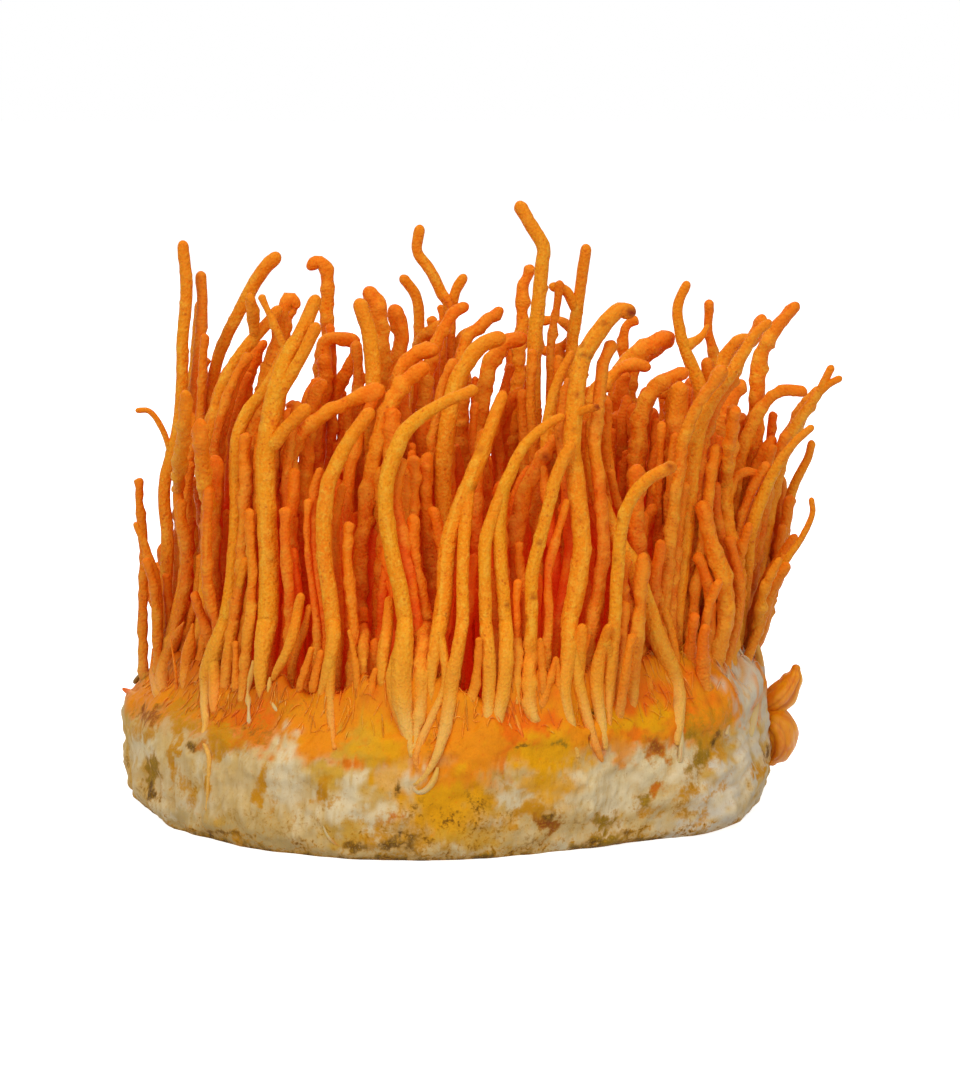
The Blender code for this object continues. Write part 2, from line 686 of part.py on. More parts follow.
def foot_beside(lead_foot, lead_radius, radius, turn):
    """A foot that overlaps the tuft's first one, set at an angle round it."""
    apart = (lead_radius + radius) * FOOT_OVERLAP
    return np.array([lead_foot[0] + apart * math.cos(turn), lead_foot[1] + apart * math.sin(turn)])


def plan_tuft(number, described):
    """The stems of one tuft, each with its line, radii and what it hangs on."""
    chance = np.random.default_rng([SEED, number])
    plans = []
    for member in described["members"]:
        lead_curve = plans[0]["curve"] if plans else None
        plans.append({**member, "curve": traced_route(member, lead_curve)})
    tuft_foot = np.array(described["foot"]) if "foot" in described else plans[0]["curve"][-1][:2]
    for count in range(described["filling"]):
        plans.append(filling_stem(tuft_foot, count, chance))
    for order, plan in enumerate(plans):
        tolerance, plan["sides"] = MATE_TOLERANCE, MATE_SIDES
        if plan["kind"] == "filling":
            tolerance, plan["sides"] = FILLING_TOLERANCE, FILLING_SIDES
        elif order == 0:
            tolerance, plan["sides"] = LEAD_TOLERANCE, LEAD_SIDES
        plan["line"] = thinned_line(plan["curve"], tolerance)
        plan["radii"] = radii_along(plan["line"], plan["widths"])
        if plan["kind"] == "shoot":
            plan["radii"][-1] = plan["radii"][-2]
        plan["tuft"] = number
        plan["order"] = order
    return plans


def nearest_stretch(line, place):
    """The stretch of a line that passes nearest to a place, and the share along it."""
    best = None
    for stretch, (upper, lower) in enumerate(zip(line, line[1:])):
        way = lower - upper
        share = float(np.clip(np.dot(place - upper, way) / np.dot(way, way), 0.0, 1.0))
        away = np.linalg.norm(upper + way * share - place)
        if best is None or away < best[0]:
            best = (away, stretch, share)
    return best[1], best[2]


def bind_feet(plans):
    """Brings every foot of a tuft beside the first one, and ties side shoots and legs to the first stem."""
    lead = plans[0]
    lead["line"][-1] = inside_rim(lead["line"][-1], lead["radii"][-1])
    for order, plan in enumerate(plans):
        if plan["kind"] in TIED_ENDS:
            plan["joint"] = nearest_stretch(lead["line"], plan["line"][TIED_ENDS[plan["kind"]]])
        if order and plan["kind"] != "shoot":
            plan["beside"] = plans[max(0, order - FEET_IN_FIRST_RING)]
            toward = plan["line"][-1, :2] - plan["beside"]["line"][-1, :2]
            plan.setdefault("turn", math.atan2(toward[1], toward[0]))


def flatten(tufts):
    """All stems' points in one array, with the pairs of points that bound each stretch."""
    stems = [plan for plans in tufts for plan in plans]
    start = 0
    for plan in stems:
        plan["start"] = start
        start += len(plan["line"])
    points = np.vstack([plan["line"] for plan in stems])
    radii = np.concatenate([plan["radii"] for plan in stems])
    before, after, share, owner = [], [], [], []
    for plan in stems:
        for stretch in range(len(plan["line"]) - 1):
            for part in np.arange(SAMPLES_PER_STRETCH) / SAMPLES_PER_STRETCH:
                before.append(plan["start"] + stretch)
                after.append(plan["start"] + stretch + 1)
                share.append(part)
                owner.append(plan["tuft"])
        before.append(plan["start"] + len(plan["line"]) - 1)
        after.append(plan["start"] + len(plan["line"]) - 1)
        share.append(0.0)
        owner.append(plan["tuft"])
    samples = (np.array(before), np.array(after), np.array(share)[:, None], np.array(owner))
    return stems, points, radii, samples


def neighbours(places, owners, reach):
    """Pairs of samples of different tufts that lie within reach of each other."""
    order = np.argsort(places[:, 2], kind="stable")
    heights = places[order, 2]
    first, second = [], []
    last = np.searchsorted(heights, heights + reach, side="right")
    for position in range(len(order)):
        others = order[position + 1 : last[position]]
        here = order[position]
        near = np.abs(places[others, :2] - places[here, :2]).max(axis=1, initial=0.0) < reach
        others = others[near & (owners[others] != owners[here])]
        first.append(np.full(len(others), here))
        second.append(others)
    return np.concatenate(first), np.concatenate(second)


def hold_ends(tufts, points, radii):
    """Feet stay on the cake and beside each other, and side shoots stay on their stems."""
    for plans in tufts:
        lead = plans[0]
        lead_end = lead["start"] + len(lead["line"]) - 1
        points[lead_end] = inside_rim(points[lead_end], radii[lead_end])
        points[lead_end, 2] = FOOT_LEVEL
        for plan in plans[1:]:
            end = plan["start"] + len(plan["line"]) - 1
            if "joint" in plan:
                stretch, share = plan["joint"]
                upper, lower = points[lead["start"] + stretch : lead["start"] + stretch + 2]
                tied = plan["start"] if plan["kind"] == "leg" else end
                points[tied] = upper * (1 - share) + lower * share
            if "beside" in plan:
                beside = plan["beside"]["start"] + len(plan["beside"]["line"]) - 1
                foot = foot_beside(points[beside], radii[beside], radii[end], plan["turn"])
                points[end] = inside_rim(np.array([*foot, 0.0]), radii[end])
                points[end, 2] = FOOT_LEVEL + FOOT_STEP * plan["order"]


def smooth_shift(shift, stems):
    """Spreads each stem's shift along its length, so that it bends instead of kinking."""
    for plan in stems:
        part = slice(plan["start"], plan["start"] + len(plan["line"]))
        own = shift[part]
        own[1:-1] = 0.6 * own[1:-1] + 0.2 * (own[:-2] + own[2:])


def settle(tufts):
    """Moves crowded stems apart until each has its own room, traced ones mostly in depth."""
    stems, points, radii, (before, after, share, owner) = flatten(tufts)
    free = np.concatenate([np.full(len(plan["line"]), plan["kind"] == "filling") for plan in stems])
    freedom = np.where(free[:, None], FREE_FREEDOM, TRACED_FREEDOM)
    forward = freedom[:, 1] * np.where(free, 1.0, FORWARD_SHARE)
    sample_free = free[before]
    sideways = np.where(sample_free, 1.0, DEPTH_PREFERENCE)
    rest = points.copy()
    sample_radii = radii[before] * (1 - share[:, 0]) + radii[after] * share[:, 0]
    hold_ends(tufts, points, radii)
    for count in range(SETTLE_ROUNDS):
        places = points[before] * (1 - share) + points[after] * share
        if count % NEIGHBOUR_ROUNDS == 0:
            first, second = neighbours(places, owner, NEIGHBOUR_REACH)
        between = places[first] - places[second]
        apart = np.linalg.norm(between, axis=1)
        short = sample_radii[first] + sample_radii[second] + STEM_GAP - apart
        tight = short > 0
        one, other, short = first[tight], second[tight], short[tight]
        push = between[tight]
        push[:, 0] *= np.minimum(sideways[one], sideways[other])
        push[:, 1] += DEPTH_NUDGE * np.where(push[:, 1] < 0, -1.0, 1.0)
        push[:, 2] *= LIFT_SHARE
        push *= (short / np.linalg.norm(push, axis=1))[:, None] * SETTLE_SHARE
        shift = np.zeros_like(points)
        for samples, sign in ((one, 1.0), (other, -1.0)):
            for ends, weight in ((before, 1 - share), (after, share)):
                for axis in range(3):
                    shift[:, axis] += np.bincount(
                        ends[samples],
                        weights=sign * push[:, axis] * weight[samples, 0],
                        minlength=len(points),
                    )
        smooth_shift(np.clip(shift, -LONGEST_PUSH, LONGEST_PUSH, out=shift), stems)
        moved = (points + shift - rest) * SETTLE_MEMORY
        moved[:, 0] = np.clip(moved[:, 0], -freedom[:, 0], freedom[:, 0])
        moved[:, 1] = np.clip(moved[:, 1], -forward, freedom[:, 1])
        points = rest + moved
        hold_ends(tufts, points, radii)
    radii = fitting_radii(points, radii, (before, after, share, owner), sample_radii)
    hold_ends(tufts, points, radii)
    for plan in stems:
        part = slice(plan["start"], plan["start"] + len(plan["line"]))
        plan["line"] = points[part]
        plan["radii"] = radii[part]


def fitting_radii(points, radii, samples, sample_radii):
    """The radii at which no stem presses on another: both are slimmer where they would."""
    before, after, share, owner = samples
    places = points[before] * (1 - share) + points[after] * share
    first, second = neighbours(places, owner, NEIGHBOUR_REACH)
    apart = np.linalg.norm(places[first] - places[second], axis=1) - STEM_GAP
    wanted = sample_radii[first] + sample_radii[second]
    factor = np.clip(apart / wanted, 0.0, 1.0)
    slimmer = np.ones(len(sample_radii))
    np.minimum.at(slimmer, first, factor)
    np.minimum.at(slimmer, second, factor)
    point_factor = np.ones(len(points))
    np.minimum.at(point_factor, before, slimmer)
    np.minimum.at(point_factor, after, slimmer)
    return np.maximum(radii * point_factor, THINNEST_RADIUS)


def ring(centre, along, across, radius, sides):
    """A ring of points round a centre, square to a direction, and the way to its first point."""
    along = along / np.linalg.norm(along)
    across = across - along * np.dot(across, along)
    across = across / np.linalg.norm(across)
    other = np.cross(along, across)
    turns = np.arange(sides) * 2 * math.pi / sides
    spread = np.cos(turns)[:, None] * across + np.sin(turns)[:, None] * other
    return centre + radius * spread, across


def stem_shape(plan):
    """Points and faces of one closed stem: a domed tip, rings down the shank and a flat foot."""
    line, radii, sides = plan["line"], plan["radii"], plan["sides"]
    ways = np.gradient(line, axis=0)
    across = np.array([1.0, 0.0, 0.0])
    tip_way = line[0] - line[1]
    tip_way = tip_way / np.linalg.norm(tip_way)
    points = [line[0] + tip_way * radii[0] * TIP_DOME]
    if plan["kind"] != "shoot":
        ways[-1] = (0.0, 0.0, -1.0)
    for place, way, radius in zip(line, ways, radii):
        if abs(way[0]) > NEARLY_SIDEWAYS * np.linalg.norm(way):
            across = np.array([0.0, 1.0, 0.0])
        circle, across = ring(place, way, across, radius, sides)
        points.extend(circle)
    rings = len(line)
    faces = [(0, 1 + (side + 1) % sides, 1 + side) for side in range(sides)]
    for level in range(rings - 1):
        low = 1 + level * sides
        high = low + sides
        for side in range(sides):
            following = (side + 1) % sides
            faces.append((low + side, low + following, high + following, high + side))
    end = 1 + (rings - 1) * sides
    faces.append(tuple(end + side for side in range(sides)))
    return np.array(points), faces


def build_tuft(described, plans):
    """One node: the first stem with its mates and side shoots joined on."""
    name = described["name"]
    forward = name.startswith("stem_")
    colour = SKIN_COLOURS["front" if forward else "inner"]
    material = skin_material(name + "_skin", colour, 0.55)
    body = mesh_object(name, *stem_shape(plans[0]), material)
    for order, plan in enumerate(plans[1:], start=1):
        mate = mesh_object(f"{name}_mate_{order}", *stem_shape(plan))
        add_boolean(body, mate, "UNION")
    return body


def cake_wave(turn):
    """How far the cake's side stands out at a compass turn in radians."""
    return float(np.interp(math.degrees(turn), *zip(*CAKE_OUTLINE)))


def cake_profile(swell):
    """Radius, height and share of the outline up the side, from the underside to the edge of the flat top."""
    outer = CAKE_RADIUS + swell
    low = -swell
    high = CAKE_HEIGHT + swell
    return (
        (CAKE_UNDERSIDE_RADIUS + swell, low, 1.0),
        (outer - 0.4, low + CAKE_LOWER_EDGE, 1.0),
        (outer, low + 3.6, 0.95),
        (outer, 8.0, 0.75),
        (outer - 0.1, high - CAKE_UPPER_EDGE - 0.6, 0.55),
        (outer - 0.8, high - 0.5 * CAKE_UPPER_EDGE, 0.4),
        (CAKE_TOP_RADIUS + swell + 1.1, high - 0.35, 0.2),
        (CAKE_TOP_RADIUS + swell, high, 0.0),
    )


def cake_shape(swell=0.0):
    """A low round loaf with a flat underside, a flat top and a slightly wavy side."""
    profile = cake_profile(swell)
    points = []
    for radius, height, share in profile:
        for side in range(CAKE_SIDES):
            turn = 2 * math.pi * side / CAKE_SIDES
            reach = radius + share * cake_wave(turn)
            points.append((reach * math.cos(turn), reach * math.sin(turn), height))
    faces = [tuple(reversed(range(CAKE_SIDES)))]
    for level in range(len(profile) - 1):
        low = level * CAKE_SIDES
        for side in range(CAKE_SIDES):
            following = (side + 1) % CAKE_SIDES
            faces.append((low + side, low + following, low + CAKE_SIDES + following, low + CAKE_SIDES + side))
    top = (len(profile) - 1) * CAKE_SIDES
    faces.append(tuple(top + side for side in range(CAKE_SIDES)))
    return np.array(points), faces


def build_cake():
    material = skin_material("culture_cake_skin", CAKE_COLOUR, 0.8)
    return mesh_object("culture_cake", *cake_shape(), material)


def ear_shape(middle, half_sizes, lean):
    """One thick ear: an egg-like lobe that leans in the plane of the front view."""
    points = [(0.0, 0.0, half_sizes[2])]
    for level in range(1, EAR_RINGS):
        polar = math.pi * level / EAR_RINGS
        for side in range(EAR_SIDES):
            turn = 2 * math.pi * side / EAR_SIDES
            points.append(
                (
                    half_sizes[0] * math.sin(polar) * math.cos(turn),
                    half_sizes[1] * math.sin(polar) * math.sin(turn),
                    half_sizes[2] * math.cos(polar),
                )
            )
    points.append((0.0, 0.0, -half_sizes[2]))
    faces = [(0, 1 + side, 1 + (side + 1) % EAR_SIDES) for side in range(EAR_SIDES)]
    for level in range(EAR_RINGS - 2):
        low = 1 + level * EAR_SIDES
        for side in range(EAR_SIDES):
            following = (side + 1) % EAR_SIDES
            faces.append((low + side, low + EAR_SIDES + side, low + EAR_SIDES + following, low + following))
    bottom = len(points) - 1
    low = bottom - EAR_SIDES
    faces.extend((bottom, low + (side + 1) % EAR_SIDES, low + side) for side in range(EAR_SIDES))
    lean = math.radians(lean)
    turned = np.array(points)
    x = turned[:, 0] * math.cos(lean) + turned[:, 2] * math.sin(lean)
    z = turned[:, 2] * math.cos(lean) - turned[:, 0] * math.sin(lean)
    return np.column_stack([x, turned[:, 1], z]) + np.array(middle), faces


def build_ears():
    """Two lobes grown together, seated against the side of the cake."""
    material = skin_material("side_ears_skin", EAR_COLOUR, 0.35)
    lobes = [ear_shape(*sizes) for sizes in zip(EAR_MIDDLES, EAR_HALF_SIZES, EAR_LEANS)]
    ears = mesh_object("side_ears", *lobes[0], material)
    add_boolean(ears, mesh_object("side_ears_lower", *lobes[1]), "UNION")
    add_boolean(ears, mesh_object("side_ears_seat", *cake_shape(SEAM)), "DIFFERENCE")
    return ears


def build_stems():
    """Plans all tufts, lets them settle beside each other and makes one object of each."""
    described = FRONT_TUFTS + SECOND_TUFTS + RIGHT_TUFTS + MIDDLE_TUFTS + LEFT_TUFTS + BACK_TUFTS
    tufts = [plan_tuft(number, one) for number, one in enumerate(described)]
    for plans in tufts:
        bind_feet(plans)
    settle(tufts)
    for one, plans in zip(described, tufts):
        build_tuft(one, plans)


def main():
    clear_scene()
    build_cake()
    build_ears()
    build_stems()


main()
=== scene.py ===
import math
import time

import bpy
import numpy as np
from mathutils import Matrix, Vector


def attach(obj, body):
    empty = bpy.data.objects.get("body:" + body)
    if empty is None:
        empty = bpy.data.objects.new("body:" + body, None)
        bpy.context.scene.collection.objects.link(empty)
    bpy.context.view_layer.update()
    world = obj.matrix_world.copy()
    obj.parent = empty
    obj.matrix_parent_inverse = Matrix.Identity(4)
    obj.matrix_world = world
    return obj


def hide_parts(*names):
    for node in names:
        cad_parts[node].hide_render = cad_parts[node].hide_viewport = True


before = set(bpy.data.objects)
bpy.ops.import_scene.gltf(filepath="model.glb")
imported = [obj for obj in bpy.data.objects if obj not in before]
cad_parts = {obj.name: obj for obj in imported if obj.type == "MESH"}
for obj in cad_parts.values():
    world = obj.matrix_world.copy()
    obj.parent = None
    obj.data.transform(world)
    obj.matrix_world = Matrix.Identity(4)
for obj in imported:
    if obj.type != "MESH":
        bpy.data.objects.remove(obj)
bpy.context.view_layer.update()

# Cordyceps bunch: a cake of grain and mycelium with a thicket of orange stems.
# All working sizes are in millimetres, and they turn into metres when a mesh is made.
# The front is towards -Y, and the ear-like lobes are on the +X side.

started = time.time()


def report(stage):
    print(f"{stage}: {time.time() - started:.1f} s")


# The eye of the front view, in which the stems' routes and the cake's patches are given
eye = {
    "distance": 450.0,
    "rise": 8.5,            # degrees above the horizon
    "axis": 4.4,            # x that it looks at
    "targetHeight": 33.3,   # z that it looks at
    "middle": 42.9,         # the same place, as "up" in the front view
    "sensor": 36.0,
    "picture": (960, 1088),
    "mmPerPixel": 0.135,
    "zero": (447.5, 862.0),  # the pixel at which across and up are 0
}
eyeSine = math.sin(math.radians(eye["rise"]))
eyeCosine = math.cos(math.radians(eye["rise"]))


def fromFrontView(across, up, depth):
    # places in the object, from millimetres across and up in the front view and the depth, which is y
    sideways = (across - eye["axis"]) / eye["distance"]
    upwards = (up - eye["middle"]) / eye["distance"]
    reach = (depth + eye["distance"] * eyeCosine) / (eyeCosine + upwards * eyeSine)
    x = eye["axis"] + reach * sideways
    z = eye["targetHeight"] + eye["distance"] * eyeSine + reach * (upwards * eyeCosine - eyeSine)
    return np.stack([x, depth + 0.0 * x, z], axis=-1)


def toFrontView(places):
    # across and up, as the front view shows these places
    high = places[:, 2] - eye["targetHeight"]
    away = places[:, 1] * eyeCosine - high * eyeSine
    closer = eye["distance"] / (eye["distance"] + away)
    across = eye["axis"] + (places[:, 0] - eye["axis"]) * closer
    return across, eye["middle"] + (places[:, 1] * eyeSine + high * eyeCosine) * closer


def inPicture(places):
    # the same in pixels of the picture, left to right and top to bottom
    across, up = toFrontView(places)
    size = eye["mmPerPixel"]
    wide, tall = eye["picture"]
    return wide / 2 + (across - eye["axis"]) / size, tall / 2 - (up - eye["middle"]) / size


def lengthsAlong(points):
    steps = np.linalg.norm(np.diff(points, axis=0), axis=1)
    return np.concatenate([[0.0], np.cumsum(steps)])


def atLengths(points, lengths, wanted):
    return np.stack([np.interp(wanted, lengths, points[:, axis]) for axis in range(3)], axis=1)


def smoothCurve(points, perStretch=8):
    ends = np.vstack([2 * points[0] - points[1], points, 2 * points[-1] - points[-2]])
    share = np.linspace(0.0, 1.0, perStretch, endpoint=False)[:, None]
    pieces = []
    for a, b, c, d in zip(ends, ends[1:], ends[2:], ends[3:]):
        bend = 2 * b + (c - a) * share
        bend = bend + (2 * a - 5 * b + 4 * c - d) * share**2
        bend = bend + (3 * b - a - 3 * c + d) * share**3
        pieces.append(0.5 * bend)
    return np.vstack([*pieces, points[-1:]])


def routeOf(text):
    # "x y, x y" or "x y width, x y width" as an array
    return np.array([spot.split() for spot in text.split(",")], float)


def fromPicture(route, perStretch=10):
    # spots with x, y and width in the picture's pixels, made smooth, as across, up and width in millimetres
    seen = smoothCurve(route, perStretch)
    size = eye["mmPerPixel"]
    x, y = eye["zero"]
    return (seen[:, 0] - x) * size, (y - seen[:, 1]) * size, seen[:, 2] * size


def unit(ways):
    return ways / np.maximum(np.linalg.norm(ways, axis=-1, keepdims=True), 1e-9)


def smoothStep(values, low, high):
    share = np.clip((values - low) / (high - low), 0.0, 1.0)
    return share * share * (3.0 - 2.0 * share)


def softNoise(places, size, seed):
    # smooth noise from -1 to 1 with lumps of this size, the same on each run
    levels = np.random.default_rng(seed).uniform(-1.0, 1.0, 4096)
    grid = places / size + 5000.0
    corner = np.floor(grid).astype(np.int64)
    share = grid - corner
    share = share * share * (3.0 - 2.0 * share)
    total = np.zeros(len(places))
    for x in (0, 1):
        for y in (0, 1):
            for z in (0, 1):
                mark = (corner[:, 0] + x) * 73856093
                mark = mark ^ (corner[:, 1] + y) * 19349663 ^ (corner[:, 2] + z) * 83492791
                weight = np.abs(1 - x - share[:, 0]) * np.abs(1 - y - share[:, 1])
                weight = weight * np.abs(1 - z - share[:, 2])
                total += levels[mark & 4095] * weight
    return total


def blurred(values, width):
    # each column of values, spread along its length
    reach = int(math.ceil(3 * width))
    weights = np.exp(-0.5 * (np.arange(-reach, reach + 1) / width) ** 2)
    weights /= weights.sum()
    padded = np.pad(values, ((reach, reach), (0, 0)), mode="edge")
    columns = [np.convolve(padded[:, k], weights, mode="valid") for k in range(values.shape[1])]
    return np.stack(columns, axis=1)


def linear(red, green, blue):
    # a screen colour of 0 to 255 as Blender's own linear colour
    tones = np.array([red, green, blue]) / 255.0
    return np.where(tones < 0.04045, tones / 12.92, ((tones + 0.055) / 1.055) ** 2.4)


def makePiece(name, points, quads, corners, values, material, replaced, slot):
    mesh = bpy.data.meshes.new(name)
    mesh.from_pydata((points * 0.001).tolist(), [], quads.tolist() + corners.tolist())
    mesh.shade_smooth()
    for label, numbers in values.items():
        if numbers.ndim == 1:
            layer = mesh.attributes.new(label, "FLOAT", "POINT")
            layer.data.foreach_set("value", numbers.astype(np.float32))
        else:
            layer = mesh.attributes.new(label, "FLOAT_VECTOR", "POINT")
            layer.data.foreach_set("vector", numbers.astype(np.float32).ravel())
    mesh.materials.append(material)
    piece = bpy.data.objects.new(name, mesh)
    bpy.context.scene.collection.objects.link(piece)
    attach(piece, "root")
    if replaced:
        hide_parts(*replaced)
    return piece


def tubeFaces(rings, sides):
    # quads from ring to ring, and a fan at each end to one of the two points that follow the rings
    base = np.arange(rings - 1)[:, None] * sides
    here = np.arange(sides)[None, :]
    following = (here + 1) % sides
    quads = np.stack([base + here, base + following, base + sides + following, base + sides + here], axis=-1)
    first, end, last = rings * sides, rings * sides + 1, (rings - 1) * sides
    corners = [(first, (k + 1) % sides, k) for k in range(sides)]
    corners += [(end, last + k, last + (k + 1) % sides) for k in range(sides)]
    return quads.reshape(-1, 4), np.array(corners)


def joined(parts):
    # each part is (points, quads, corners, values), and several become one
    starts = np.cumsum([0] + [len(part[0]) for part in parts[:-1]])
    points = np.vstack([part[0] for part in parts])
    quads = np.vstack([part[1] + start for part, start in zip(parts, starts)])
    corners = np.vstack([part[2] + start for part, start in zip(parts, starts)])
    values = {label: np.concatenate([part[3][label] for part in parts]) for label in parts[0][3]}
    return points, quads, corners, values


# Shader maths: a socket takes part in plain expressions, and each adds a Math node
class Socket:
    def __init__(self, paint, out):
        self.paint, self.out = paint, out

    def maths(self, operation, first, second):
        return self.paint.node("ShaderNodeMath", {"operation": operation}, {0: first, 1: second})

    def __add__(self, other):
        return self.maths("ADD", self, other)

    def __radd__(self, other):
        return self.maths("ADD", other, self)

    def __sub__(self, other):
        return self.maths("SUBTRACT", self, other)

    def __rsub__(self, other):
        return self.maths("SUBTRACT", other, self)

    def __mul__(self, other):
        return self.maths("MULTIPLY", self, other)

    def __rmul__(self, other):
        return self.maths("MULTIPLY", other, self)


class Paint:
    def __init__(self, name, finish):
        self.material = bpy.data.materials.new(name)
        self.material.use_nodes = True
        self.tree = self.material.node_tree
        self.shader = self.tree.nodes["Principled BSDF"]
        for label, value in finish.items():
            self.shader.inputs[label].default_value = value

    def node(self, kind, settings, sockets, output=0):
        made = self.tree.nodes.new(kind)
        for label, value in settings.items():
            setattr(made, label, value)
        for label, value in sockets.items():
            self.put(made.inputs[label], value)
        return Socket(self, made.outputs[output])

    def put(self, socket, value):
        if isinstance(value, Socket):
            self.tree.links.new(value.out, socket)
        elif isinstance(value, (int, float)):
            socket.default_value = value
        else:
            spare = len(socket.default_value) - len(value)
            socket.default_value = (*value, *[1.0] * spare)

    def feed(self, label, value):
        self.put(self.shader.inputs[label], value)

    def stored(self, label, output=2):
        # a number kept in the mesh, or with output 1 a vector
        return self.node("ShaderNodeAttribute", {"attribute_name": label}, {}, output)

    def noise(self, where, size, detail=2.0, roughness=0.55, warp=0.0):
        sockets = {"Vector": where, "Scale": 1.0 / size, "Detail": detail, "Roughness": roughness, "Distortion": warp}
        return self.node("ShaderNodeTexNoise", {}, sockets)

    def cells(self, where, size):
        return self.node("ShaderNodeTexVoronoi", {}, {"Vector": where, "Scale": 1.0 / size})

    def inMillimetres(self):
        return self.stretched(self.node("ShaderNodeTexCoord", {}, {}, 3), (1000.0, 1000.0, 1000.0))

    def between(self, value, low, high):
        # 0 below low, 1 above high and smooth between them
        sockets = {"Value": value, "From Min": low, "From Max": high}
        return self.node("ShaderNodeMapRange", {"interpolation_type": "SMOOTHSTEP"}, sockets)

    def mixed(self, share, colour, other, blend="MIX"):
        settings = {"data_type": "RGBA", "blend_type": blend, "clamp_factor": True}
        return self.node("ShaderNodeMix", settings, {0: share, 6: colour, 7: other}, 2)

    def layered(self, colour, *layers):
        # each layer is its share, its colour and, where it isn't plain, how it blends
        for share, other, *blend in layers:
            colour = self.mixed(share, colour, other, *blend)
        return colour

    def stretched(self, where, factors):
        return self.node("ShaderNodeVectorMath", {"operation": "MULTIPLY"}, {0: where, 1: factors})

    def raised(self, height, distance, strength=1.0):
        # distance is in millimetres
        sockets = {"Height": height, "Distance": distance * 0.001, "Strength": strength}
        self.feed("Normal", self.node("ShaderNodeBump", {}, sockets))


# The stems: each route runs from the tip to the foot, with across and up in the front view
def stem(tipWidth, width, tipDepth, footDepth, route):
    return {"kind": "stem", "widths": (tipWidth, width), "depths": (tipDepth, footDepth), "route": routeOf(route)}


def shoot(width, depthOff, route):
    # a side shoot, from its tip to where it leaves the tuft's first stem
    return {"kind": "shoot", "widths": (width, width), "depths": (depthOff, 0.0), "route": routeOf(route)}


def leg(width, depthOff, route):
    # a second leg of the tuft's first stem, down to its own foot
    return {"kind": "leg", "widths": (width, width), "depths": (0.0, depthOff), "route": routeOf(route)}


def tuft(name, filling, *members):
    return {"name": name, "filling": filling, "members": members}


def freeTuft(name, filling, across, depth):
    return {"name": name, "filling": filling, "members": (), "foot": (across, depth)}


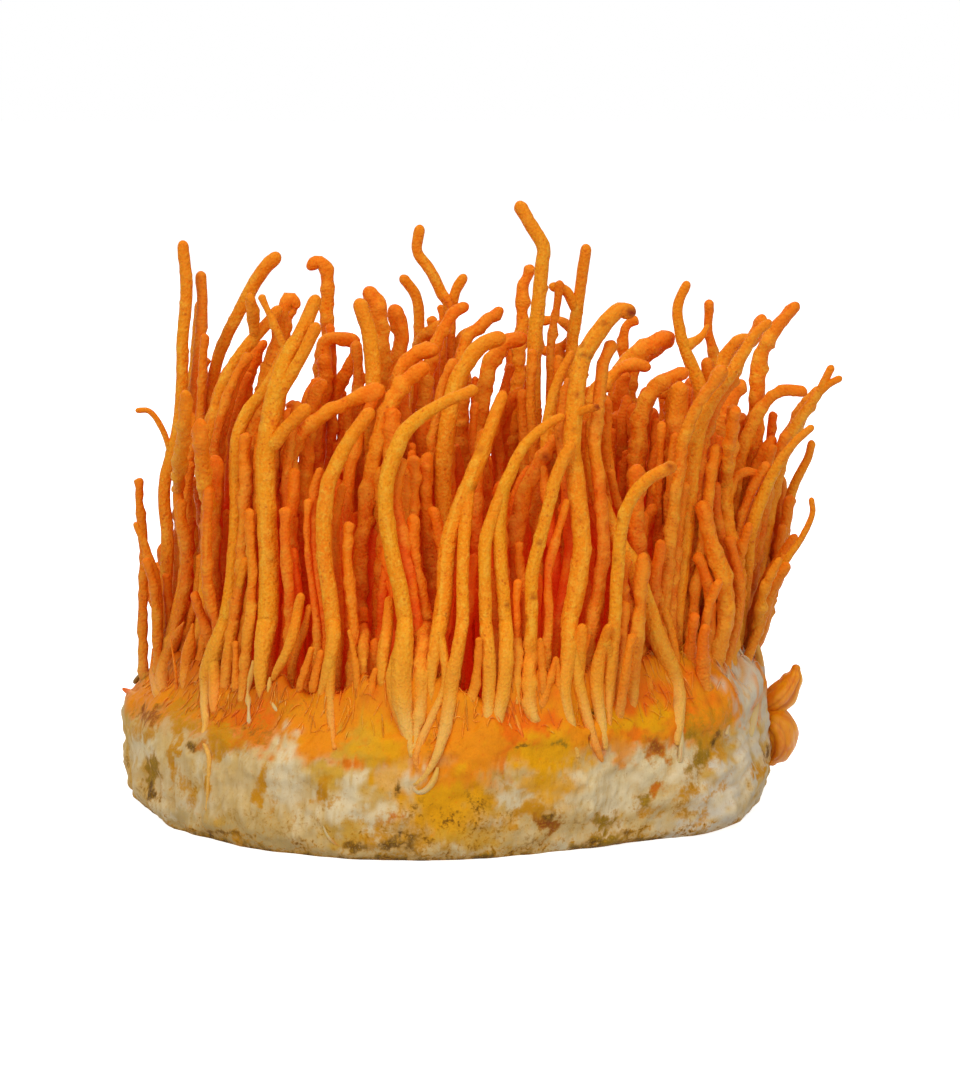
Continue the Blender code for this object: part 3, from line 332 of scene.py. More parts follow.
described = (
    # Front row, from left to right
    tuft("stem_left_leaning", 0,
         stem(1.8, 2.0, -8, -16.5, "-23 74.5, -24.2 72.9, -26.9 69.8, -29.6 65.7, -31 61.5, -32.2 55, -32.3 46, "
              "-32.7 38, -33.3 31, -35.2 23.6")),
    tuft("stem_left_front", 0,
         stem(1.7, 2.1, -15, -24, "-21.9 69.1, -24.2 64.4, -27.2 60.3, -28.5 56, -28.6 46, -29.2 38, -30.4 30, "
              "-31.6 23.5")),
    tuft("stem_left_forked", 0,
         stem(2.0, 2.9, -17, -28.5, "-17.9 75.9, -19.9 71.1, -22.2 67.1, -23.4 62.1, -24.4 55.6, -24.5 48.9, "
              "-24 38.1, -24.4 30, -25.3 22.5"),
         shoot(1.8, -1.5, "-17.8 72.2, -19.5 68.4, -21.4 65, -23.3 61.5"),
         shoot(2.0, -2.5, "-19.1 61, -21.9 58.3, -24.4 55"),
         stem(1.2, 1.5, -30, -29, "-19.8 35.8, -20.7 31.3, -22.1 27.3, -23.3 23.5")),
    tuft("stem_front_curved", 0,
         stem(1.9, 2.3, -25, -33.5, "-10.5 60.6, -12.9 57.6, -15 53.8, -16.4 49.5, -16.7 43, -15.9 35.5, -15.3 29, "
              "-16 20.5"),
         stem(1.2, 1.7, -24, -29, "-14.2 50.6, -15.3 44.8, -14.9 37, -14.5 30, -14.5 23")),
    tuft("stem_front_crooked", 0,
         stem(1.6, 2.3, -24, -37.2, "3.6 63.7, 0.3 62.4, -2.6 60.8, -5.7 58, -7.6 53.6, -8.3 48.4, -7.4 41.5, "
              "-6.1 35.4, -5.4 28.6, -6.2 17"),
         stem(1.4, 1.8, -31, -35, "-8 35.4, -8.4 29, -8.6 22")),
    tuft("stem_front_split", 0,
         stem(1.6, 2.5, -21, -38, "7.5 63, 5.7 58.3, 3.8 53.2, 1.8 48, 0.1 42, -0.5 35.4, -1.7 27.3, -2.9 16"),
         leg(1.8, 0.5, "3.4 51, 2.7 46, 2.1 40, 2 31, 1.7 24, 0.6 18")),
    tuft("stem_front_arched", 0,
         stem(1.2, 1.9, -24, -36.5, "15.7 60.2, 13.2 58.7, 10.5 56.3, 8.7 52.9, 7.4 49, 7 42.5, 7.6 35.4, 8 29, "
              "7.5 17"),
         leg(1.8, 0.5, "7.6 50.5, 6.3 47.5, 5.2 43, 5.1 34, 5.4 24.6, 5.4 18")),
    tuft("stem_front_slender", 0,
         stem(1.8, 1.8, -27, -35.5, "16.7 56.2, 15.2 53.3, 13.9 49.3, 12.6 43.5, 11.4 38.5, 11.3 31, 11.1 24, "
              "12.2 17.5")),
    tuft("stem_centre_thick", 0,
         stem(2.4, 2.7, -19, -34.5, "24.6 74.3, 23 74.4, 20.8 72, 18.3 68, 17.3 62, 16.8 56, 17.4 49.5, 18 43, "
              "17.4 37, 15.9 29.3, 16 20"),
         shoot(1.2, -2.2, "20.2 61.4, 19 61.2, 17.2 60.6"),
         stem(1.6, 1.9, -33, -33, "18.2 31.5, 18 27, 17.9 22")),
    tuft("stem_centre_leg", 0,
         stem(1.5, 2.6, -21.5, -27.5, "19.2 59.5, 19.4 54.3, 20.5 48.9, 22.9 43.2, 25.2 39.5, 27.3 33.3, 29.2 27.3, "
              "30.3 20")),
    tuft("stem_front_right_arched", 0,
         stem(1.9, 1.8, -29, -33.5, "30.3 53.3, 27.3 51.7, 25.1 49.3, 23.7 45.8, 23 39.5, 22.7 33, 22.2 26, 21.7 17"),
         stem(1.2, 1.8, -33.5, -34, "21.5 31.7, 20.2 27.9, 19.9 23, 20 17")),
    # Second row, behind the front stems
    tuft("tuft_front_inner_left", 0,
         stem(1.7, 1.8, -15, -23.5, "-9.1 64, -12.9 62.2, -16.5 60.3, -19.9 57, -21.5 52, -21.5 42, -20.8 32, "
              "-20 24"),
         stem(1.4, 1.7, -22, -27, "-20.6 52.9, -21.1 44, -20.6 34, -20.2 24"),
         stem(1.9, 2.1, -14, -20, "-19 57, -19.2 48, -19.3 38, -19 25")),
    tuft("tuft_left_inner", 1,
         stem(2.0, 2.2, -5, -14, "-21.9 73.2, -24 67.1, -26 58, -27 46, -27.5 34, -27.5 25"),
         stem(1.5, 1.7, -12, -17, "-27.1 54.3, -27.1 42, -27 32, -27 24")),
    tuft("tuft_front_inner_centre", 0,
         stem(1.3, 1.6, -27, -31, "-4.9 46.4, -4.3 40, -3 34, -3.4 27.3, -3.5 20"),
         stem(1.5, 1.7, -24, -29, "-2 47.3, -0.6 42.8, 0.2 32, 0 22"),
         stem(1.4, 1.6, -18, -26, "-2.6 54.9, -3.2 47.5, -2.1 40, -1.8 30, -1.8 22"),
         stem(1.6, 1.8, -21, -28, "-4.7 54.3, -4.8 46, -4.4 36, -4.4 24")),
    tuft("tuft_front_inner_bent", 0,
         stem(1.9, 1.9, -13, -24, "-3.2 66.7, -5.6 65.1, -7.6 62, -9.5 56.3, -11.2 47, -12 37, -11.6 24"),
         stem(1.9, 2.0, -16, -25, "-7.1 60.8, -7.6 52, -8.6 42, -8.6 32, -9 24"),
         stem(1.2, 1.4, -26, -28, "-11.1 34, -11 28.6, -11 23")),
    tuft("stem_centre_bright", 0,
         stem(2.3, 2.5, -13, -24, "7.1 70.7, 4.7 69.8, 2.7 67.6, 0.9 63.8, -0.3 56, -0.4 46, 0.6 34, 1.5 23")),
    tuft("tuft_centre_slanting", 1,
         stem(1.9, 2.2, -6, -16, "10 70.5, 7.4 69.4, 5.2 65.6, 4.3 60, 4.5 50, 5.2 38, 5.4 24"),
         stem(1.5, 1.8, 0, -13, "7.1 74.5, 4.7 72.5, 2.3 69.5, 1.8 60, 2.6 46, 4 34, 4.4 24")),
    tuft("tuft_front_inner_paired", 0,
         stem(1.6, 1.9, -20, -30, "15.2 57.4, 12.5 54.6, 10.3 50.4, 9.3 45, 9.1 36, 9.2 22"),
         stem(1.4, 1.7, -17, -28, "14.5 56.3, 13 52.5, 12 48, 12.2 42, 11.8 32, 11.2 22")),
    tuft("stem_centre_pointed", 0,
         stem(1.2, 2.3, -15, -24.5, "16.8 68.5, 15.3 65.7, 14 62, 13.3 56, 14.2 48, 15.4 39, 15.2 30, 14.6 22")),
    tuft("stem_tallest", 0,
         stem(2.0, 2.1, -8, -14.5, "9.9 88.4, 11.4 85.9, 12.9 83.2, 12.7 80.5, 12.3 75.5, 11.8 69.8, 11.7 62, 12 50, "
              "12 38, 11.8 25")),
    tuft("stem_centre_left_tall", 0,
         stem(2.4, 2.3, -10, -18, "-11.8 75.2, -10.6 71.5, -10 66, -10.2 57, -9.8 47, -9.6 36, -9.8 25")),
    tuft("tuft_centre_right_inner", 1,
         stem(1.3, 1.7, -12, -19.5, "21.5 62.4, 21.4 56, 21.3 46, 20.8 36, 20.4 25"),
         stem(1.6, 1.8, -3, -14, "26.7 66.7, 24.6 67.1, 21.7 65.3, 19.2 62, 18.5 54, 18.6 42, 19 30, 19.2 24")),
    tuft("tuft_right_inner", 0,
         stem(2.0, 2.2, -9, -16, "31.9 66, 28.4 64.4, 26.4 60.8, 25.6 54.9, 25 46, 24.4 36, 24.2 25"),
         stem(1.3, 1.6, -17, -20, "28 48.1, 26.4 45.2, 25.3 39, 25 31, 25 24")),
    tuft("stem_right_thick", 0,
         stem(1.3, 2.5, -12, -20.5, "43.3 72.9, 41.4 71.1, 38.8 66.7, 35.4 62.1, 33.6 58, 32.6 51, 32.1 44.5, "
              "31.2 36, 30.6 29.3, 30.2 23")),
    tuft("tuft_right_front", 0,
         stem(1.9, 2.3, -16.5, -18, "33.9 48.4, 35.3 43.8, 37.2 39, 37.9 33, 37.2 26, 36.9 20"),
         stem(0.8, 1.2, -20.5, -20.5, "36.8 37.9, 35.2 34.4, 34.5 30, 34.9 22")),
    # Right side, leaning out over the rim of the cake
    tuft("tuft_right_upright", 0,
         stem(1.3, 1.8, -10, -12.5, "38.9 61.3, 38.2 56, 37.3 51, 38.1 45, 39.1 39.4, 39.3 32, 38.8 23"),
         shoot(1.2, -1.6, "40.6 45.2, 39.9 42.7, 39.2 39.5"),
         stem(1.9, 2.1, -5, -9.5, "39.9 64.3, 38 61.4, 36.5 56.5, 35.6 50, 35.2 40, 35.6 28")),
    tuft("stem_right_long", 0,
         stem(1.0, 1.8, -11, -7, "49.1 58.6, 46.9 56.7, 44.5 53.3, 42.5 49, 41 44, 40.4 38, 40.1 31, 40 23"),
         stem(0.8, 1.1, -9, -4.5, "49.1 48.8, 49.2 46.8, 47.7 43.5, 45.4 40.1, 43.5 36.5, 42.3 30, 41.2 22"),
         stem(0.9, 1.0, -8.5, -4.5, "44.1 35.6, 43.2 33, 42 27, 41 22")),
    tuft("stem_right_outermost", 0,
         stem(1.2, 2.1, -4, 1.5, "51.8 66.6, 50.2 63.6, 48 60.6, 46 57, 44.3 51.5, 42.9 44, 41.5 34, 40.6 24"),
         shoot(1.1, -0.6, "52.9 65.2, 51.4 64.4, 49.6 62.8")),
    tuft("stem_right_rear_long", 3,
         stem(1.2, 1.7, 1, 6.5, "49.1 56.6, 48.6 54.4, 47.2 51.6, 46.1 48, 45.1 43, 43.8 36.5, 42.4 29, 41 22")),
    tuft("tuft_right_crossing", 0,
         stem(1.8, 2.2, 0, -3.5, "46.9 74.8, 44.8 72.5, 42.6 68.8, 41.6 63, 40.8 54, 38.6 42, 37 28"),
         stem(1.5, 1.6, -3.5, -5, "48 63.6, 45.6 63.9, 42.9 62, 41.1 59, 39.8 54.3, 38 44, 36.6 30")),
    tuft("stem_right_tall", 3,
         stem(1.4, 2.2, 2, 1, "32.2 77.9, 31 75.2, 31.2 72, 32.2 68.6, 34.3 63, 35 54, 34 42, 32.8 28")),
    tuft("tuft_right_rear", 1,
         stem(1.1, 1.6, 10, 11, "35.2 75.5, 35.3 71.5, 36.2 67, 36.2 56, 35.6 42, 35 28"),
         stem(1.6, 2.2, 14, 13, "42.3 73.4, 41.5 70.8, 38.8 68, 37.6 62, 37.4 50, 37 38, 36.4 28")),
    tuft("stem_right_round_tip", 2,
         stem(2.3, 2.1, -4, -11.5, "30.3 64.1, 30.3 58, 29.6 51, 29.2 43, 29 34, 29 25")),
    tuft("tuft_right_middle", 3,
         stem(2.3, 2.3, 3, -5.5, "30.3 70.7, 28 69.7, 25.4 68, 23.3 65.4, 22.4 58, 22 46, 21.6 34, 21.4 26"),
         stem(1.4, 1.6, -3, -8, "24 62.4, 23.6 54, 23.2 44, 22.8 34, 22.4 26")),
    tuft("tuft_right_hooked", 4,
         stem(1.1, 1.6, 8, 5, "25.6 73.2, 24.2 71.8, 23.9 68.6, 24.5 58, 25 45, 25.2 30")),
    # Middle of the thicket
    tuft("stem_centre_upright", 2,
         stem(1.7, 1.9, 2, 3, "18.7 82.9, 18.1 78.5, 17.6 74.8, 16.9 70.5, 16.5 60, 16.8 46, 17.2 32, 17.2 25"),
         shoot(1.5, -1.0, "14.2 77.6, 16 77, 17.4 74.2")),
    tuft("tuft_centre_looped", 4,
         stem(1.4, 1.7, 4, 0, "11.3 80.2, 10.2 77, 10.2 72.5, 9.5 67, 8.8 56, 8.4 42, 8 28")),
    tuft("stem_centre_twin", 3,
         stem(1.6, 1.7, 6, 8, "-3.7 85.5, -4.1 82.4, -2.4 80, -0.9 77, 0.3 73.8, 0.1 62, -0.4 48, 0 34, 0 26"),
         shoot(1.6, -0.6, "2.1 78.8, 1 76.8, 0.3 73")),
    tuft("stem_centre_bowed", 4,
         stem(1.7, 1.7, 11, 16, "-5.9 78.7, -4.2 76.2, -3.8 72, -4.4 62, -5 48, -5.2 36, -5.2 27")),
    tuft("tuft_centre_knotted", 2,
         stem(2.3, 2.2, 3, -1, "-7.4 74.5, -6.4 70.8, -7 66.5, -8.5 56, -9 44, -9 26"),
         stem(2.2, 2.1, -3, -4.5, "-10.3 77, -9.2 74.5, -8.9 68, -9.6 58, -10.8 46, -11.4 34, -11.4 26")),
    tuft("tuft_centre_inner", 2,
         stem(1.5, 1.8, -1, -8.5, "2.5 74.8, 0.6 73.6, -1.2 70.2, -3.2 63, -3.9 52, -3.6 40, -3.4 27"),
         stem(1.9, 2.0, -8, -11.5, "-1.7 69.1, -4.8 68, -6.9 65.4, -8 58, -7.4 48, -6 36, -5.2 27")),
    tuft("tuft_left_hooked", 4,
         stem(1.9, 1.5, 9, 8, "-18.4 80.2, -17.2 80.7, -16.2 79, -16 74, -16.2 62, -16.8 48, -17 36, -17 27")),
    tuft("tuft_left_middle", 4,
         stem(1.7, 1.8, 3, -1, "-20.7 75.9, -22 73.4, -22.8 64, -23 52, -23 38, -23 26")),
    tuft("tuft_centre_left_low", 3,
         stem(1.7, 1.9, -6, -9, "-17.2 64.7, -18.8 61.5, -18.6 50, -18 38, -17.6 27")),
    # Left side
    tuft("stem_left_tall", 0,
         stem(1.8, 1.9, -1, -4.5, "-35.7 83.2, -35.2 77, -35.8 69.5, -36.3 59, -38.2 51, -37.8 43, -38.6 33, -39 24"),
         shoot(0.9, -0.5, "-41.8 60.9, -40.2 60.8, -38.5 58.5, -37.2 55"),
         stem(1.4, 1.8, -10, -10.5, "-36.4 51.8, -36.2 47, -35.3 41, -36 34.5, -37.4 27, -37.7 22"),
         stem(0.9, 1.6, -7.5, -9, "-42.1 45.6, -40.7 42.3, -39.3 37, -39.2 28, -38.9 22")),
    tuft("stem_left_second", 4,
         stem(1.8, 1.9, 4, 3, "-33.4 75.2, -33.9 69, -34.8 58, -34.9 51, -33.8 43, -33.5 34, -33.4 26")),
    tuft("stem_left_long_hook", 6,
         stem(2.2, 1.9, 8, 11, "-23.2 81.7, -25.2 79.6, -28.2 74.2, -30.8 68.4, -32.2 61, -32.6 50, -31.6 38, "
              "-30.6 27")),
    # Back of the thicket
    freeTuft("tuft_back_left", 7, -25.0, 17.5),
    freeTuft("tuft_back_left_rim", 7, -27.5, 27.0),
    freeTuft("tuft_back_centre_left", 8, -13.5, 20.0),
    freeTuft("tuft_back_left_outer", 7, -15.0, 33.0),
    freeTuft("tuft_back_centre", 8, -2.0, 25.5),
    freeTuft("tuft_back_outer", 7, -1.5, 37.0),
    freeTuft("tuft_back_centre_right", 8, 9.5, 14.0),
    freeTuft("tuft_back_outer_right", 8, 11.5, 30.5),
    freeTuft("tuft_back_right", 8, 20.5, 16.0),
    freeTuft("tuft_back_right_outer", 7, 23.0, 28.0),
    freeTuft("tuft_back_right_rim", 7, 31.0, 20.0),
)
cakeForm = {
    "height": 15.0,
    "radius": 43.3,
    "topRadius": 40.2,
    "undersideRadius": 42.0,
    "lowerEdge": 1.2,
    "upperEdge": 3.6,
    # how far the side stands out or in, by turn in degrees from +X, where 270 is the front
    "outline": (
        (0, 0.2), (40, -0.4), (75, 0.6), (110, -0.5), (150, 0.6), (180, 0.2), (205, 0.1), (216, 1.4),
        (225, 1.2), (236, 1.6), (253, 1.3), (262, 0.9), (270, 0.3), (280, -0.8), (289, -1.7), (304, -1.9),
        (311, -0.6), (317, 0.9), (323, 1.7), (329, 1.4), (336, 0.6), (345, 0.0), (360, 0.2),
    ),
}

# How the stems stand on the cake, and how few points each has while it settles
rooting = {
    "gap": 0.32,            # between the cake and a foot
    "between": 0.42,        # between stems of different tufts
    "flare": 1.3,
    "overlap": 0.62,        # of the feet in a tuft, as a share of their radii
    "footStep": 0.03,
    "lowestBend": 4.0,
    "tipShare": 0.3,        # of its length in which a stem reaches its full width
    "thinnest": 0.34,
    "tolerances": {"lead": 0.45, "mate": 0.8, "filling": 1.1},
    "longestStretch": 23.0,
}
footLevel = cakeForm["height"] + rooting["gap"]
tiedEnds = {"shoot": -1, "leg": 0}

# The filling stems fan out of each tuft's foot and stay under the outline of the thicket
filling = {
    "seed": 46,
    # height that they may reach, as (across, up)
    "heights": (
        (-48, 27), (-43, 32), (-39, 44), (-34, 56), (-26, 62), (-14, 66), (-3, 66), (6, 61), (10, 66),
        (14, 60), (20, 61), (28, 66), (37, 66), (42, 61), (47, 54), (52, 42),
    ),
    "footUp": 26.0,
    "widths": (1.8, 2.6),
    "lean": (0.0, 0.16),
    "reach": 45.5,
    "wander": 1.2,
    "shortest": 0.66,
    "turns": [math.radians(turn) for turn in (36, -36, 108, -108)],
    "footSpread": 2.2,
    "tipSpreads": ((1.8, 4.2), (4.6, 8.0)),
}

# How crowded stems move apart
settling = {
    "rounds": 260,
    "share": 0.42,
    "longestPush": 0.25,
    "memory": 0.995,
    "smoothing": 0.2,             # how far a point follows each of its neighbours
    "samples": 4,
    "reach": 5.0,
    "neighbourRounds": 20,
    "tracedFreedom": (0.9, 7.0),
    "fillingFreedom": (5.0, 8.0),
    "forwardShare": 0.25,
    "depthPreference": 0.35,
    "depthNudge": 0.5,
    "liftShare": 0.15,
}


def tracedRoute(member, leadCurve):
    across, up = member["route"].T
    run = lengthsAlong(np.column_stack([across, up]))
    depths = np.interp(run, (0.0, run[-1]), member["depths"])
    places = fromFrontView(across, up, depths)
    if leadCurve is not None and member["kind"] != "stem":
        rising = leadCurve[::-1]
        depths = depths + np.interp(places[:, 2], rising[:, 2], rising[:, 1])
        places = fromFrontView(across, up, depths)
    if member["kind"] != "shoot":
        foot = np.array([places[-1, 0], places[-1, 1], footLevel])
        if places[-1, 2] < footLevel + rooting["lowestBend"]:
            places = places[:-1]
        places = np.vstack([places, foot])
    return smoothCurve(places)


def thinned(curve, tolerance):
    # the few points of the curve that settle; the rest of it follows them
    run = lengthsAlong(curve)
    kept = [0, len(curve) - 1]
    position = 0
    while position < len(kept) - 1:
        first, last = kept[position], kept[position + 1]
        inner = np.arange(first + 1, last)
        share = ((run[inner] - run[first]) / (run[last] - run[first]))[:, None]
        away = np.linalg.norm(curve[inner] - curve[first] * (1 - share) - curve[last] * share, axis=1)
        if len(inner) and away.max() > tolerance:
            kept.insert(position + 1, int(inner[away.argmax()]))
        elif len(inner) and run[last] - run[first] > rooting["longestStretch"]:
            kept.insert(position + 1, (first + last) // 2)
        else:
            position += 1
    return kept


def radiiAlong(line, widths):
    run = lengthsAlong(line)
    radii = 0.5 * np.interp(run / run[-1], (0.0, rooting["tipShare"]), widths)
    radii[-1] *= rooting["flare"]
    return radii


def insideRim(place, radius):
    limit = cakeForm["topRadius"] - radius - rooting["gap"]
    away = math.hypot(place[0], place[1])
    factor = min(1.0, limit / away) if away else 1.0
    return np.array([place[0] * factor, place[1] * factor, place[2]])


def fillingStem(tuftFoot, count, chance):
    width = chance.uniform(*filling["widths"])
    turns = filling["turns"]
    turn = math.atan2(tuftFoot[1], tuftFoot[0]) + turns[count % len(turns)]
    way = np.array([math.cos(turn), math.sin(turn)])
    foot = tuftFoot + filling["footSpread"] * way
    lean = 1.0 + chance.uniform(*filling["lean"])
    tipSpread = chance.uniform(*filling["tipSpreads"][min(1, count // len(turns))])
    tipAcross, tipDepth = tuftFoot * lean + tipSpread * way
    factor = min(1.0, filling["reach"] / math.hypot(tipAcross, tipDepth))
    highest = np.interp(tipAcross * factor, *zip(*filling["heights"]))
    up = filling["footUp"] + (highest - filling["footUp"]) * chance.uniform(filling["shortest"], 1.0)
    tip = fromFrontView(np.array(tipAcross * factor), np.array(up), tipDepth * factor)
    root = np.array([*foot, footLevel])
    middle = 0.5 * (tip + root)
    middle[:2] += 0.25 * (tip - root)[:2] + chance.uniform(-filling["wander"], filling["wander"], 2)
    curve = smoothCurve(np.array([tip, middle, root]))
    return {"kind": "filling", "widths": (0.85 * width, width), "curve": curve, "turn": turn}


def planTuft(number, described):
    chance = np.random.default_rng([filling["seed"], number])
    plans = []
    for member in described["members"]:
        leadCurve = plans[0]["curve"] if plans else None
        plans.append({**member, "curve": tracedRoute(member, leadCurve)})
    tuftFoot = np.array(described["foot"]) if "foot" in described else plans[0]["curve"][-1][:2]
    for count in range(described["filling"]):
        plans.append(fillingStem(tuftFoot, count, chance))
    for order, plan in enumerate(plans):
        role = "filling" if plan["kind"] == "filling" else "mate" if order else "lead"
        kept = thinned(plan["curve"], rooting["tolerances"][role])
        line = plan["curve"][kept]
        radii = radiiAlong(line, plan["widths"])
        if plan["kind"] == "shoot":
            radii[-1] = radii[-2]
        plan.update(line=line, firstLine=line.copy(), radii=radii, firstRadii=radii.copy(), tuft=number, order=order)
        plan["keptRun"] = lengthsAlong(plan["curve"])[kept]
    return plans


def nearestStretch(line, place):
    found = []
    for stretch, (upper, lower) in enumerate(zip(line, line[1:])):
        way = lower - upper
        share = float(np.clip(np.dot(place - upper, way) / np.dot(way, way), 0.0, 1.0))
        found.append((np.linalg.norm(upper + way * share - place), stretch, share))
    return min(found)[1:]


def bindFeet(plans):
    lead = plans[0]
    lead["line"][-1] = insideRim(lead["line"][-1], lead["radii"][-1])
    for order, plan in enumerate(plans):
        if plan["kind"] in tiedEnds:
            plan["joint"] = nearestStretch(lead["line"], plan["line"][tiedEnds[plan["kind"]]])
        if order and plan["kind"] != "shoot":
            plan["beside"] = plans[max(0, order - len(filling["turns"]))]
            toward = plan["line"][-1, :2] - plan["beside"]["line"][-1, :2]
            plan.setdefault("turn", math.atan2(toward[1], toward[0]))


def flattened(tufts):
    stems = [plan for plans in tufts for plan in plans]
    start = 0
    for plan in stems:
        plan["start"] = start
        start += len(plan["line"])
    points = np.vstack([plan["line"] for plan in stems])
    radii = np.concatenate([plan["radii"] for plan in stems])
    # samples between neighbouring points: the point before, the one after, the share between and the tuft
    samples = []
    for plan in stems:
        last = plan["start"] + len(plan["line"]) - 1
        for point in range(plan["start"], last):
            samples += [(point, point + 1, part / settling["samples"], plan["tuft"])
                        for part in range(settling["samples"])]
        samples.append((last, last, 0.0, plan["tuft"]))
    before, after, share, owner = (np.array(each) for each in zip(*samples))
    return stems, points, radii, (before, after, share[:, None], owner)


def neighbours(places, owners, reach):
    order = np.argsort(places[:, 2], kind="stable")
    heights = places[order, 2]
    first, second = [], []
    last = np.searchsorted(heights, heights + reach, side="right")
    for position in range(len(order)):
        others = order[position + 1 : last[position]]
        here = order[position]
        near = np.abs(places[others, :2] - places[here, :2]).max(axis=1, initial=0.0) < reach
        others = others[near & (owners[others] != owners[here])]
        first.append(np.full(len(others), here))
        second.append(others)
    return np.concatenate(first), np.concatenate(second)


def endOf(plan):
    return plan["start"] + len(plan["line"]) - 1


def holdEnds(tufts, points, radii):
    for plans in tufts:
        lead = plans[0]
        leadEnd = endOf(lead)
        points[leadEnd] = insideRim(points[leadEnd], radii[leadEnd])
        points[leadEnd, 2] = footLevel
        for plan in plans[1:]:
            end = endOf(plan)
            if "joint" in plan:
                stretch, share = plan["joint"]
                upper, lower = points[lead["start"] + stretch : lead["start"] + stretch + 2]
                tied = plan["start"] if plan["kind"] == "leg" else end
                points[tied] = upper * (1 - share) + lower * share
            if "beside" in plan:
                beside = endOf(plan["beside"])
                apart = (radii[beside] + radii[end]) * rooting["overlap"]
                x = points[beside, 0] + apart * math.cos(plan["turn"])
                y = points[beside, 1] + apart * math.sin(plan["turn"])
                points[end] = insideRim(np.array([x, y, 0.0]), radii[end])
                points[end, 2] = footLevel + rooting["footStep"] * plan["order"]


def fittingRadii(points, radii, samples, sampleRadii):
    before, after, share, owner = samples
    places = points[before] * (1 - share) + points[after] * share
    first, second = neighbours(places, owner, settling["reach"])
    apart = np.linalg.norm(places[first] - places[second], axis=1) - rooting["between"]
    factor = np.clip(apart / (sampleRadii[first] + sampleRadii[second]), 0.0, 1.0)
    slimmer = np.ones(len(sampleRadii))
    np.minimum.at(slimmer, first, factor)
    np.minimum.at(slimmer, second, factor)
    pointFactor = np.ones(len(points))
    np.minimum.at(pointFactor, before, slimmer)
    np.minimum.at(pointFactor, after, slimmer)
    return np.maximum(radii * pointFactor, rooting["thinnest"])


def settle(tufts):
    stems, points, radii, (before, after, share, owner) = flattened(tufts)
    free = np.concatenate([np.full(len(plan["line"]), plan["kind"] == "filling") for plan in stems])
    freedom = np.where(free[:, None], settling["fillingFreedom"], settling["tracedFreedom"])
    forward = freedom[:, 1] * np.where(free, 1.0, settling["forwardShare"])
    sideways = np.where(free[before], 1.0, settling["depthPreference"])
    smoothing = settling["smoothing"]
    rest = points.copy()
    sampleRadii = radii[before] * (1 - share[:, 0]) + radii[after] * share[:, 0]
    holdEnds(tufts, points, radii)
    for count in range(settling["rounds"]):
        places = points[before] * (1 - share) + points[after] * share
        if count % settling["neighbourRounds"] == 0:
            first, second = neighbours(places, owner, settling["reach"])
        between = places[first] - places[second]
        apart = np.linalg.norm(between, axis=1)
        short = sampleRadii[first] + sampleRadii[second] + rooting["between"] - apart
        tight = short > 0
        one, other, short = first[tight], second[tight], short[tight]
        push = between[tight]
        push[:, 0] *= np.minimum(sideways[one], sideways[other])
        push[:, 1] += settling["depthNudge"] * np.where(push[:, 1] < 0, -1.0, 1.0)
        push[:, 2] *= settling["liftShare"]
        push *= (short / np.linalg.norm(push, axis=1))[:, None] * settling["share"]
        shift = np.zeros_like(points)
        for picked, sign in ((one, 1.0), (other, -1.0)):
            for ends, weight in ((before, 1 - share), (after, share)):
                for axis in range(3):
                    amounts = sign * push[:, axis] * weight[picked, 0]
                    shift[:, axis] += np.bincount(ends[picked], weights=amounts, minlength=len(points))
        np.clip(shift, -settling["longestPush"], settling["longestPush"], out=shift)
        for plan in stems:
            own = shift[plan["start"] : plan["start"] + len(plan["line"])]
            own[1:-1] = own[1:-1] * (1 - 2 * smoothing) + smoothing * (own[:-2] + own[2:])
        moved = (points + shift - rest) * settling["memory"]
        moved[:, 0] = np.clip(moved[:, 0], -freedom[:, 0], freedom[:, 0])
        moved[:, 1] = np.clip(moved[:, 1], -forward, freedom[:, 1])
        points = rest + moved
        holdEnds(tufts, points, radii)
    radii = fittingRadii(points, radii, (before, after, share, owner), sampleRadii)
    holdEnds(tufts, points, radii)
    for plan in stems:
        part = slice(plan["start"], plan["start"] + len(plan["line"]))
        plan["line"] = points[part]
        plan["radii"] = radii[part]


tufts = [planTuft(number, one) for number, one in enumerate(described)]
for plans in tufts:
    bindFeet(plans)
settle(tufts)
report(f"{sum(len(plans) for plans in tufts)} stems settled")


